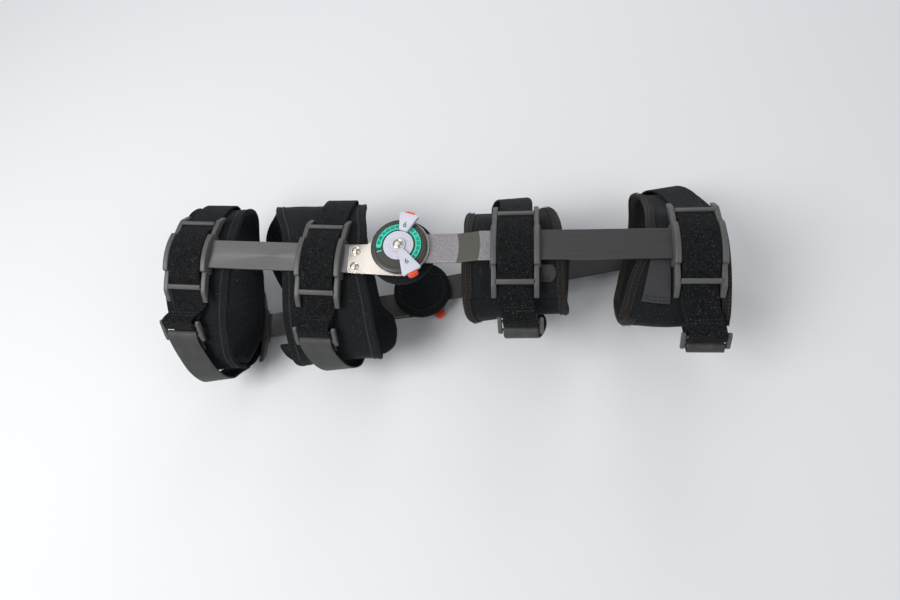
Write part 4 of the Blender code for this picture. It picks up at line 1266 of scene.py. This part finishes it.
def outwards(radius):
    """Return the place of a mark at a distance from the knee's axis, its top away from it."""
    return Matrix.Translation((radius, 0, 0)) @ Matrix.Rotation(-math.pi / 2, 4, "Z")


def make_scale(side, hand):
    """The teal scale with its numbers, ticks and index mark."""
    node = f"{side}_dial_scale"
    dress(traced(node, f"{node}_shape"), "printed_scale", "thigh", "scale_plastic", node)
    step = looks().dial_step
    number_place = outwards((SCALE_INNER + SCALE_OUTER) / 2)
    tick_place = outwards(SCALE_INNER + 0.0005)
    marks = []
    for index in range(DIAL_MARKS):
        degrees = DIAL_FIRST - index * DIAL_PITCH
        place = on_dial(side, hand, SCALE_HIGH, degrees) @ number_place
        marks.append(flat_text("number", str(abs(9 - index) * step), NUMBER_SIZE, place))
        tick = slab("tick", rectangle(-0.0001, 0.0001, -0.0004, 0.0004), -PRINT_HALF, PRINT_HALF)
        half = on_dial(side, hand, SCALE_HIGH, degrees - DIAL_PITCH / 2)
        marks.append(put(tick, half @ tick_place))
    dress(joined(f"{side}_dial_numbers", marks), "ink", "thigh", "scale_plastic")
    outline = rectangle(0.0172, 0.0221, -0.0007, 0.0007)
    mark = slab(f"{side}_dial_index", outline, -PRINT_HALF, PRINT_HALF)
    put(mark, on_dial(side, hand, COVER_HIGH, INDEX_ANGLE))
    dress(mark, "printed_scale", "thigh", "scale_plastic")


def make_pointer(side, hand, kind):
    """One stop pointer: its ring, its wedge-shaped arm and the window in it."""
    shape = POINTERS[kind]
    node = f"{side}_{kind}_pointer"
    low, radius = shape["low"], shape["radius"]
    high = low + RING_THICKNESS
    floor = high - GROOVE_DEPTH
    profile = [(BORE_RADIUS, low), (radius, low), (radius, high - 0.0004), (radius - 0.0005, high)]
    for groove in shape["grooves"]:
        profile += [
            (groove, high), (groove - 0.0002, floor), (groove - 0.0005, floor),
            (groove - 0.0007, high),
        ]
    profile.append((BORE_RADIUS, high))
    ring = spun("ring", profile, 80)
    start, start_half = shape["start"], shape["start_half"]
    rise = (ARM_END_HALF - start_half) / (ARM_END - 0.001 - start)
    near = [
        (start, -start_half), (ROOF_START, -start_half - rise * (ROOF_START - start)),
        (ARM_END - 0.0012, -ARM_END_HALF), (ARM_END, -ARM_END_HALF + 0.0014),
    ]
    far = [(x, -y) for x, y in reversed(near)]
    pocket = [
        (ARM_END, -POCKET_HALF), (POCKET_START, -POCKET_HALF),
        (POCKET_START, POCKET_HALF), (ARM_END, POCKET_HALF),
    ]
    lower = slab("arm", [*near, *pocket, *far], shape["arm_low"], POCKET_HIGH, 0.0003, 2)
    upper = slab("roof", [*near, *far], POCKET_HIGH - 0.0001, DIAL_TOP)
    for vertex in upper.data.vertices:
        if vertex.co.z > POCKET_HIGH:
            share = min(max((ROOF_START - vertex.co.x) / (ROOF_START - start), 0.0), 1.0)
            vertex.co.z -= ARM_SLOPE * share
    rounded(upper, 0.0006, 4)
    pointer = joined(f"{node}_shape", [ring, lower, upper])
    smooth(pointer)
    place = upright_frame(side) @ Matrix.Rotation(math.radians(hand * shape["angle"]), 4, "Z")
    dress(put(pointer, place), "pointer_plastic", node, "pointer_plastic", node)
    drop = ARM_SLOPE / (ROOF_START - start)
    top = DIAL_TOP - drop * (ROOF_START - WINDOW_PLACE)
    window = place @ Matrix.Translation((WINDOW_PLACE, 0, top))
    window = window @ Matrix.Rotation(-math.atan(drop), 4, "Y")
    inner, outer = WINDOW_RADIUS, WINDOW_RADIUS + WINDOW_RIM
    rim_profile = [(inner, -0.0002), (outer, -0.0002), (outer, 0.0001), (inner, 0.0001)]
    rim = put(spun(f"{node}_window_rim", rim_profile, 40), window)
    dress(rim, "pointer_plastic", node, "pointer_plastic")
    raised = window @ Matrix.Translation((0, 0, 0.00007)) @ outwards(0)
    digit = flat_text(f"{node}_digit", "6" if kind == "flexion" else "9", DIGIT_SIZE, raised)
    dress(digit, "digit_ink", node, "pointer_plastic")
    make_button(node, place)


def make_button(node, place):
    """The orange release button at a pointer's tip, with grip ribs on its end."""
    low, high = BUTTON_LOW, BUTTON_HIGH
    outline = [
        (0.0296, -0.0053), (0.0346, -0.0053), (0.0356, -0.0034), (0.0359, 0), (0.0356, 0.0034),
        (0.0346, 0.0053), (0.0296, 0.0053),
    ]
    parts = [slab("button", outline, low, high, 0.0006, 3)]
    smooth(parts[0])
    for offset in (-0.0026, 0, 0.0026):
        outline = rectangle(0.0350, 0.0363, offset - 0.0004, offset + 0.0004)
        parts.append(slab("rib", outline, low + 0.0006, high - 0.0006, 0.0002, 2))
    button = put(joined(f"{node}_button_shape", parts), place)
    dress(button, "button_plastic", f"{node}_button", "button_plastic", f"{node}_button")


def make_pad(side):
    """The round pad inside the hinge, with a sewn rim."""
    low, high = PAD_LOW, PAD_HIGH
    seam_radius = PAD_RADIUS - PAD_SEAM_INSET
    profile = [
        (0, low), (PAD_RADIUS * 0.5, low + 0.0002), (seam_radius - 0.0020, low + 0.0008),
        (seam_radius, low + 0.0014), (seam_radius + 0.0020, low + 0.0008),
    ]
    profile += arc((PAD_RADIUS - 0.0042, (low + high) / 2), (0.0042, 0.0044), -75, 75, 8)
    profile += [(PAD_RADIUS - 0.0062, high - 0.0003), (PAD_RADIUS * 0.5, high), (0, high)]
    pad = spun(f"{side}_hinge_pad_shape", profile, 96)
    for vertex in pad.data.vertices:
        vertex.co.z += 0.0005 * noise.noise(vertex.co * 70 + Vector((3, 1, 7)))
    put(pad, upright_frame(side))
    dress(pad, "foam_cover", "thigh", "foam_fabric", f"{side}_hinge_pad")
    places = []
    count = round(2 * math.pi * seam_radius / looks().stitch_pitch)
    for index in range(count):
        angle = 2 * math.pi * index / count
        swing = PAD_SEAM_SWING if index % 2 else -PAD_SEAM_SWING
        outward = Vector((math.cos(angle), math.sin(angle), 0))
        spot = outward * (seam_radius + swing * 0.4) + Vector((0, 0, low + 0.0010))
        along = Vector((-outward.y, outward.x, 0)) * 0.0012 + outward * swing
        places.append((spot - along, spot + along, Vector((0, 0, -1))))
    seam = put(stitches(f"{side}_pad_stitches", places, FINE_THREAD), upright_frame(side))
    dress(seam, "thread", "thigh", "foam_fabric")


def stitches(name, places, radius):
    """Model a run of short stitches, each from one point to another and lifted from the cloth."""
    deselect_all()
    bpy.ops.mesh.primitive_cube_add(size=1)
    stitch = bpy.context.object
    with editing(stitch):
        bpy.ops.mesh.bevel(offset=0.28, segments=1, affect="EDGES", clamp_overlap=True)
    shape = [vertex.co.copy() for vertex in stitch.data.vertices]
    faces = [tuple(polygon.vertices) for polygon in stitch.data.polygons]
    points, polygons = [], []
    for first, last, up in places:
        along = last - first
        length = along.length
        along.normalize()
        side = up.cross(along).normalized()
        lift = along.cross(side)
        middle = (first + last) / 2
        base = len(points)
        for corner in shape:
            points.append(
                middle + along * corner.x * length + side * corner.y * 2 * radius
                + lift * corner.z * 2 * radius
            )
        polygons += [tuple(base + index for index in face) for face in faces]
    stitch.data.clear_geometry()
    stitch.data.from_pydata(points, [], polygons)
    settle(stitch, name)
    stitch.data.shade_smooth()
    return stitch


# Clips and buckles

def model_clip():
    """Model one strap clip about the bar's middle: cheeks, rails, core and two cross bars."""
    parts = []
    inner, reach = CLIP_INNER_HALF_WIDTH, CLIP_CHEEK_HALF_LENGTH
    ys = spread(reach, -reach, 12)
    bottom = [(-y, clip_underside(y)) for y in ys]
    top = [(y, min(CLIP_TOP, dome_height(y, CLIP_TOP))) for y in ys]
    for turn in (-1, 1):
        outer = turn * (inner + CLIP_CHEEK)
        low, high = sorted((turn * inner, outer))
        cheek = stand_up(slab("cheek", [*bottom, *top], 0, high - low), low, high)
        for vertex in cheek.data.vertices:
            rise = (vertex.co.z - clip_underside(vertex.co.y)) / CLIP_HEIGHT
            if abs(vertex.co.x - outer) < 0.0001:
                vertex.co.x -= turn * CLIP_CHEEK_LEAN * smooth_step(rise)
        parts.append(rounded(cheek, 0.0011, 4))
        low, high = sorted((turn * (inner + 0.0001), turn * (inner + CLIP_RAIL)))
        for way in (-1, 1):
            steps = spread(reach - 0.0015, CLIP_HALF_LENGTH, 10)
            under = [(way * y, clip_underside(y)) for y in steps]
            over = []
            for y in reversed(steps):
                height = CLIP_RAIL_HEIGHT - CLIP_RAIL_DROP * smooth_step((y - 0.0385) / 0.0095)
                over.append((way * y, clip_underside(y) + height))
            rail = slab("rail", [*under, *over], 0, high - low, 0.0009, 3)
            parts.append(stand_up(rail, low, high))
    core_top = STRAP_TOP - STRAP_THICKNESS - 2 * CLEARANCE
    ys = spread(CLIP_CORE_HALF_LENGTH, -CLIP_CORE_HALF_LENGTH, 10)
    core = [(-y, clip_underside(y)) for y in ys]
    core += [(y, dome_height(y, core_top) - 0.0002) for y in ys]
    wide = inner + 0.0001
    parts.append(stand_up(slab("core", core, 0, 2 * wide, 0.0006, 2), -wide, wide))
    corners = (
        (-1, -0.55), (-0.7, -1), (0.7, -1), (1, -0.55), (1, 0.55), (0.7, 1), (-0.7, 1), (-1, 0.55)
    )
    tilt = Matrix.Rotation(CROSS_BAR_TILT, 2)
    for way in (-1, 1):
        outline = []
        for a, b in corners:
            corner = tilt @ Vector((a * CROSS_BAR_HALF[0], b * CROSS_BAR_HALF[1]))
            outline.append((way * (CROSS_BAR_Y + corner.x), CROSS_BAR_W + corner.y))
        bar = slab("cross_bar", outline, 0, 2 * wide, 0.0003, 2)
        parts.append(stand_up(bar, -wide, wide))
    clip = joined("strap_clip", parts)
    face_outwards(clip)
    smooth(clip)
    return clip


def place_clips():
    """Put a copy of the clip on every upright by every cuff."""
    clip = model_clip()
    for side, hand in SIDES:
        for cuff in CUFFS:
            node = f"{side}_{cuff}_clip"
            twin = put(copied(clip, f"{node}_shape"), upright_frame(side) @ clip_frame(cuff, hand))
            dress(twin, "clip_plastic", CUFFS[cuff]["limb"], "clip_plastic", node)
    bpy.data.objects.remove(clip)


def make_buckle(cuff):
    """The ladder-shaped buckle between the strap and the webbing."""
    middle, upward, outward = buckle_place(cuff)
    half_wide = looks().strap_width / 2 + 0.0014
    side_outline = [
        (-0.0097, -0.0008), (-0.0085, -0.0016), (0.0085, -0.0016), (0.0097, -0.0008),
        (0.0097, 0.0008), (0.0085, 0.0016), (0.006, 0.0022), (-0.006, 0.0022),
        (-0.0085, 0.0016), (-0.0097, 0.0008),
    ]
    parts = []
    for way in (-1, 1):
        low, high = sorted((way * half_wide, way * (half_wide + BUCKLE_SIDE)))
        side = slab("side", side_outline, 0, high - low, 0.0006, 3)
        parts.append(stand_up(side, low, high))
        outline = arc((way * BUCKLE_BAR_PLACE, 0), (0.0017, 0.0016), 0, 330, 11)
        bar = slab("bar", outline, 0, 2 * half_wide + 0.001)
        parts.append(stand_up(bar, -half_wide - 0.0005, half_wide + 0.0005))
    buckle = joined(f"{cuff}_buckle_shape", parts)
    face_outwards(buckle)
    smooth(buckle)
    limb = CUFFS[cuff]["limb"]
    for vertex in buckle.data.vertices:
        flat = middle + upward * vertex.co.y + outward * vertex.co.z
        vertex.co = lie(limb, strap_middle(cuff, flat.x) + vertex.co.x, flat.x, flat.y)
    face_outwards(buckle)
    dress(buckle, "clip_plastic", limb, "clip_plastic", f"{cuff}_buckle")


# Soft parts

def ripple(point, size, depth, seed):
    """Return a soft, even waviness at a point."""
    return depth * noise.noise(point / size + Vector((seed, seed * 0.7, -seed)))


def make_cuff(cuff):
    """One foam cuff: a sheet wrapped round the limb, its outer end over its inner end."""
    sizes = CUFFS[cuff]
    angles = spread(sizes["start"], sizes["end"], 180)
    shares = [0.0, *spread(0.015, 0.985, 40), 1.0]
    rows = [[cuff_skin(cuff, degrees, share, 0) for degrees in angles] for share in shares]
    left, right = cuff_edges(cuff, 360)
    across = [share * (right - left) for share in shares]
    sheet = cloth_grid(f"{cuff}_cuff_shape", rows, across, run_lengths(rows[len(rows) // 2]))
    thicken(sheet, FOAM_THICKNESS, FOAM_EDGE, 3)
    dress(sheet, "foam_cover", sizes["limb"], "foam_fabric", f"{cuff}_cuff")
    if sizes["limb"] == "calf":
        for rim in (0, 1):
            bind_rim(cuff, rim)
        sew_cuff(cuff, BINDING_SEAMS, 0.0, TAPE_LIFT)
        sew_tab(cuff)
    else:
        sew_cuff(cuff, (looks().seam_inset,), ZIGZAG_SWING, THREAD_LIFT)
        sew_end(cuff)


def run_lengths(line):
    """Return the length along a line at each of its points."""
    along = [0.0]
    for first, second in zip(line, line[1:]):
        along.append(along[-1] + (second - first).length)
    return along


def rim_share(cuff, degrees, inset, rim):
    """Return a cuff's share of width at a distance in from its left or right rim."""
    left, right = cuff_edges(cuff, degrees)
    share = inset / (right - left)
    return 1 - share if rim else share


def bind_rim(cuff, rim):
    """The tape folded over a cuff's rim, from its outer side round to its inner side."""
    sizes = CUFFS[cuff]
    fold = (
        (0.0085, 0.0003), (0.0060, 0.0005), (0.0030, 0.0005), (0.0006, 0.0003),
        (-0.0006, -0.0006), (-0.0009, -0.0022), (-0.0006, -0.0038), (0.0006, -0.0048),
        (0.0035, -0.0050), (0.0065, -0.0049),
    )
    rows = [
        [
            cuff_skin(cuff, degrees, rim_share(cuff, degrees, inset, rim), lift)
            for degrees in spread(sizes["start"], sizes["end"], 170)
        ]
        for inset, lift in fold
    ]
    if not rim:
        rows.reverse()
    fold_lengths = run_lengths([row[0] for row in rows])
    lengths = run_lengths(rows[2])
    side = "right" if rim else "left"
    tape = cloth_grid(f"{cuff}_{side}_binding", rows, fold_lengths, lengths)
    with editing(tape):
        bpy.ops.mesh.flip_normals()
    wall = tape.modifiers.new("wall", "SOLIDIFY")
    wall.thickness = BINDING_THICKNESS
    wall.offset = 1
    apply_all(tape)
    tape.data.shade_smooth()
    dress(tape, "binding_tape", sizes["limb"], "foam_fabric")


def sewn_spot(cuff, degrees, share, lift):
    """Return a point on a cuff's outer side, and the direction away from the foam there."""
    spot = cuff_skin(cuff, degrees, share, lift)
    return spot, (cuff_skin(cuff, degrees, share, lift + 0.001) - spot).normalized()


def sew_cuff(cuff, insets, swing, lift):
    """The seams along a cuff's two rims: straight rows, or one that swings to and fro."""
    sizes = CUFFS[cuff]
    pitch = looks().stitch_pitch * (ZIGZAG_PITCH if swing else 1)
    turns = spread(sizes["start"] + 2, sizes["end"] - 2, 420)
    places = []
    for rim, inset in product((0, 1), insets):
        lengths = run_lengths([
            cuff_skin(cuff, degrees, rim_share(cuff, degrees, inset, rim), lift)
            for degrees in turns
        ])
        row = 0
        spots = []
        for index in range(int(lengths[-1] / pitch)):
            while lengths[row + 1] < index * pitch:
                row += 1
            share = (index * pitch - lengths[row]) / (lengths[row + 1] - lengths[row])
            degrees = turns[row] + (turns[row + 1] - turns[row]) * share
            side = inset + (swing if index % 2 else -swing)
            spots.append(sewn_spot(cuff, degrees, rim_share(cuff, degrees, side, rim), lift))
        for (first, up), (last, _) in zip(spots, spots[1:]):
            gap = (last - first) * (0.0 if swing else STITCH_GAP)
            places.append((first + gap, last - gap, up))
    seam = stitches(f"{cuff}_cuff_stitches", places, THREAD_RADIUS)
    dress(seam, "thread", sizes["limb"], "foam_fabric")


def sew_end(cuff):
    """The seam across a thigh cuff's outer end."""
    sizes = CUFFS[cuff]
    left, right = cuff_edges(cuff, sizes["end"])
    reach = right - left
    pitch = looks().stitch_pitch * ZIGZAG_PITCH
    spots = []
    for index in range(int((reach - 0.016) / pitch)):
        degrees = sizes["end"] - 5 - (1.0 if index % 2 else -1.0)
        spots.append(sewn_spot(cuff, degrees, (0.008 + index * pitch) / reach, THREAD_LIFT))
    places = [(a, b, up) for (a, up), (b, _) in zip(spots, spots[1:])]
    seam = stitches(f"{cuff}_end_stitches", places, THREAD_RADIUS)
    dress(seam, "thread", sizes["limb"], "foam_fabric")


def sew_tab(cuff):
    """The seam that holds the hook tab by a calf cuff's outer end."""
    tab = HOOK_TABS[cuff]
    end = tab_turns(cuff)[-1]
    left, right = cuff_edges(cuff, end)
    first, last = tab["left"][-1] + 0.001, tab["right"][-1] - 0.001
    steps = int((last - first) / looks().stitch_pitch)
    places = []
    for row in (2.0, 4.2):
        for index in range(steps):
            (a, up), (b, _) = (
                sewn_spot(
                    cuff, end - row,
                    (first + (last - first) * (index + part) / steps - left) / (right - left),
                    TAB_THICKNESS + 0.0012,
                )
                for part in STITCH_PARTS
            )
            places.append((a, b, up))
    seam = stitches(f"{cuff}_tab_stitches", places, THREAD_RADIUS)
    dress(seam, "dark_thread", CUFFS[cuff]["limb"], "hook_fabric")


def make_band(name, cuff, path, thickness, finish_name, slot_name):
    """A strap or webbing of the strap's width along a path round the limb."""
    limb = CUFFS[cuff]["limb"]
    width = looks().strap_width
    line = rounded_path(path, BAND_STEP)
    shares = spread(0.5, -0.5, 12)
    rows = []
    for share in shares:
        row = []
        for place in line:
            middle = strap_middle(cuff, place.x)
            fray = 0.0002 * noise.noise(Vector((place.x * 300, place.y * 300, share)))
            edge = fray if abs(share) > 0.49 else 0
            row.append(lie(limb, middle + share * width + edge, place.x, place.y))
        rows.append(row)
    along = run_lengths(line)
    across = [(0.5 - share) * width for share in shares]
    band = cloth_grid(f"{name}_shape", rows, across, along)
    thicken(band, thickness, min(0.0006, thickness * 0.35), 2)
    dress(band, finish_name, limb, slot_name, name)


def tab_turns(cuff):
    """Return the angles of a hook tab's sections."""
    start, end = CUFFS[cuff]["start"], CUFFS[cuff]["end"]
    count = round((end - start) / CUFF_STEP)
    return [start + (end - start) * section / count for section in HOOK_TABS[cuff]["sections"]]


def make_hook_tab(cuff):
    """The short hook tab that shows by the outer end of a calf cuff."""
    tab, turns = HOOK_TABS[cuff], tab_turns(cuff)
    rows = []
    for across in range(9):
        row = []
        for degrees in spread(turns[0], turns[-1], 16):
            first = read_table(turns, tab["left"], degrees)
            last = read_table(turns, tab["right"], degrees)
            left, right = cuff_edges(cuff, degrees)
            along = first + (last - first) * across / 8
            row.append(cuff_skin(cuff, degrees, (along - left) / (right - left), TAB_LIFT))
        rows.append(row)
    along = run_lengths(rows[4])
    across = run_lengths([row[8] for row in rows])
    tape = cloth_grid(f"{cuff}_hook_tab_shape", rows, across, along)
    thicken(tape, TAB_THICKNESS, 0.0003, 2)
    dress(tape, "hook_tape", CUFFS[cuff]["limb"], "hook_fabric", f"{cuff}_hook_tab")


def sew_strap(cuff):
    """Two rows of stitches across a strap's folded end, above its buckle."""
    limb = CUFFS[cuff]["limb"]
    line = rounded_path(strap_path(cuff), BAND_STEP)
    lengths = run_lengths(line)
    width = looks().strap_width - 0.004
    steps = int(width / looks().stitch_pitch)
    places = []
    for reach in STRAP_SEAMS:
        index = next(i for i, length in enumerate(lengths) if length > reach)
        spot = line[index]
        run = (line[index + 1] - line[index - 1]).normalized()
        away = Vector((-run.y, run.x)) * 0.0001
        middle = strap_middle(cuff, spot.x)
        if away.dot(spot) < 0:
            away = -away
        spot = spot + away
        for step in range(steps):
            ends = [middle + width * ((step + part) / steps - 0.5) for part in STITCH_PARTS]
            a, b = (lie(limb, along, spot.x, spot.y) for along in ends)
            above = lie(limb, ends[0], spot.x + away.x * 10, spot.y + away.y * 10)
            places.append((a, b, (above - a).normalized()))
    seam = stitches(f"{cuff}_strap_stitches", places, FINE_THREAD)
    dress(seam, "strap_thread", limb, "strap_fabric")


# Operators

class KNEE_BRACE_OT_bars(bpy.types.Operator):
    """Model the thigh bars and the calf bars"""

    bl_idname = "knee_brace.bars"
    bl_label = "Bars"

    def execute(self, context):
        for side, _ in SIDES:
            make_bars(side)
        return {"FINISHED"}


class KNEE_BRACE_OT_hinges(bpy.types.Operator):
    """Model the hinge plates, rivets, bolts, dial covers and scales"""

    bl_idname = "knee_brace.hinges"
    bl_label = "Hinges"

    def execute(self, context):
        for side, hand in SIDES:
            make_hinge_plate(side, hand)
            make_bolt(side)
            make_cover(side)
            make_scale(side, hand)
        return {"FINISHED"}


class KNEE_BRACE_OT_pointers(bpy.types.Operator):
    """Model the stop pointers and their release buttons"""

    bl_idname = "knee_brace.pointers"
    bl_label = "Pointers"

    def execute(self, context):
        for side, hand in SIDES:
            for kind in ("flexion", "extension"):
                make_pointer(side, hand, kind)
        return {"FINISHED"}


class KNEE_BRACE_OT_pads(bpy.types.Operator):
    """Model the round pads inside the hinges"""

    bl_idname = "knee_brace.pads"
    bl_label = "Pads"

    def execute(self, context):
        for side, _ in SIDES:
            make_pad(side)
        return {"FINISHED"}


class KNEE_BRACE_OT_clips(bpy.types.Operator):
    """Model the strap clips"""

    bl_idname = "knee_brace.clips"
    bl_label = "Strap clips"

    def execute(self, context):
        place_clips()
        return {"FINISHED"}


class KNEE_BRACE_OT_cuffs(bpy.types.Operator):
    """Model the foam cuffs and their hook tabs"""

    bl_idname = "knee_brace.cuffs"
    bl_label = "Foam cuffs"

    def execute(self, context):
        for cuff in CUFFS:
            make_cuff(cuff)
        for cuff in HOOK_TABS:
            make_hook_tab(cuff)
        return {"FINISHED"}


class KNEE_BRACE_OT_straps(bpy.types.Operator):
    """Model the napped straps, the webbing and the buckles"""

    bl_idname = "knee_brace.straps"
    bl_label = "Straps and buckles"

    def execute(self, context):
        for cuff in CUFFS:
            make_band(
                f"{cuff}_strap", cuff, strap_path(cuff), STRAP_THICKNESS,
                "loop_nap", "strap_fabric",
            )
            make_band(
                f"{cuff}_webbing", cuff, webbing_path(cuff), WEBBING_THICKNESS,
                "webbing_weave", "webbing_fabric",
            )
            sew_strap(cuff)
            make_buckle(cuff)
        return {"FINISHED"}


class KNEE_BRACE_OT_stage(bpy.types.Operator):
    """Set the pale floor, the soft light and the camera"""

    bl_idname = "knee_brace.stage"
    bl_label = "Stage"

    def execute(self, context):
        deselect_all()
        bpy.ops.mesh.primitive_plane_add(size=8, location=(0, 0, -0.0005))
        floor = settle(context.object, "floor")
        paper = Finish("floor_paper", (0.80, 0.81, 0.82), 0.8)
        paper.relief(paper.grain(paper.coordinates(), 300), 0.05, 0.0005)
        floor.data.materials.append(paper.material)
        world = bpy.data.worlds.new("studio")
        world.use_nodes = True
        sky = world.node_tree.nodes["Background"].inputs
        sky["Color"].default_value = (0.86, 0.90, 0.95, 1)
        sky["Strength"].default_value = 0.34
        context.scene.world = world
        for name, place, size, power in LIGHTS:
            bpy.ops.object.light_add(type="AREA", location=place)
            light = context.object
            light.name = name
            light.data.size = size
            light.data.energy = power
            light.rotation_euler = (Vector() - Vector(place)).to_track_quat("-Z", "Y").to_euler()
        bpy.ops.object.camera_add()
        camera = context.object
        camera.data.sensor_width = 36
        camera.data.lens = CAMERA_LENS
        turn = Matrix(CAMERA_AXES).transposed().to_4x4()
        camera.matrix_world = Matrix.Translation(KNEE + Vector(CAMERA_PLACE)) @ turn
        context.scene.camera = camera
        context.scene.view_settings.view_transform = "Standard"
        return {"FINISHED"}


STEPS = (
    KNEE_BRACE_OT_stage,
    KNEE_BRACE_OT_bars,
    KNEE_BRACE_OT_hinges,
    KNEE_BRACE_OT_pointers,
    KNEE_BRACE_OT_pads,
    KNEE_BRACE_OT_clips,
    KNEE_BRACE_OT_cuffs,
    KNEE_BRACE_OT_straps,
)


class KNEE_BRACE_PT_panel(bpy.types.Panel):
    """The brace's settings and the steps that model it"""

    bl_label = "Knee brace"
    bl_idname = "KNEE_BRACE_PT_panel"
    bl_space_type = "VIEW_3D"
    bl_region_type = "UI"
    bl_category = "Knee brace"

    def draw(self, context):
        settings = context.scene.knee_brace_looks
        for name in BraceLooks.__annotations__:
            self.layout.prop(settings, name)
        for step in STEPS:
            self.layout.operator(step.bl_idname)


CLASSES = (BraceLooks, *STEPS, KNEE_BRACE_PT_panel)


def register():
    """Register the add-on's classes and its settings."""
    for kind in CLASSES:
        bpy.utils.register_class(kind)
    bpy.types.Scene.knee_brace_looks = PointerProperty(type=BraceLooks)


def unregister():
    """Remove the add-on's settings and classes."""
    del bpy.types.Scene.knee_brace_looks
    for kind in reversed(CLASSES):
        bpy.utils.unregister_class(kind)


def main():
    """Model every piece in order."""
    register()
    for step in STEPS:
        group, name = step.bl_idname.split(".")
        getattr(getattr(bpy.ops, group), name)()


if __name__ == "__main__":
    main()
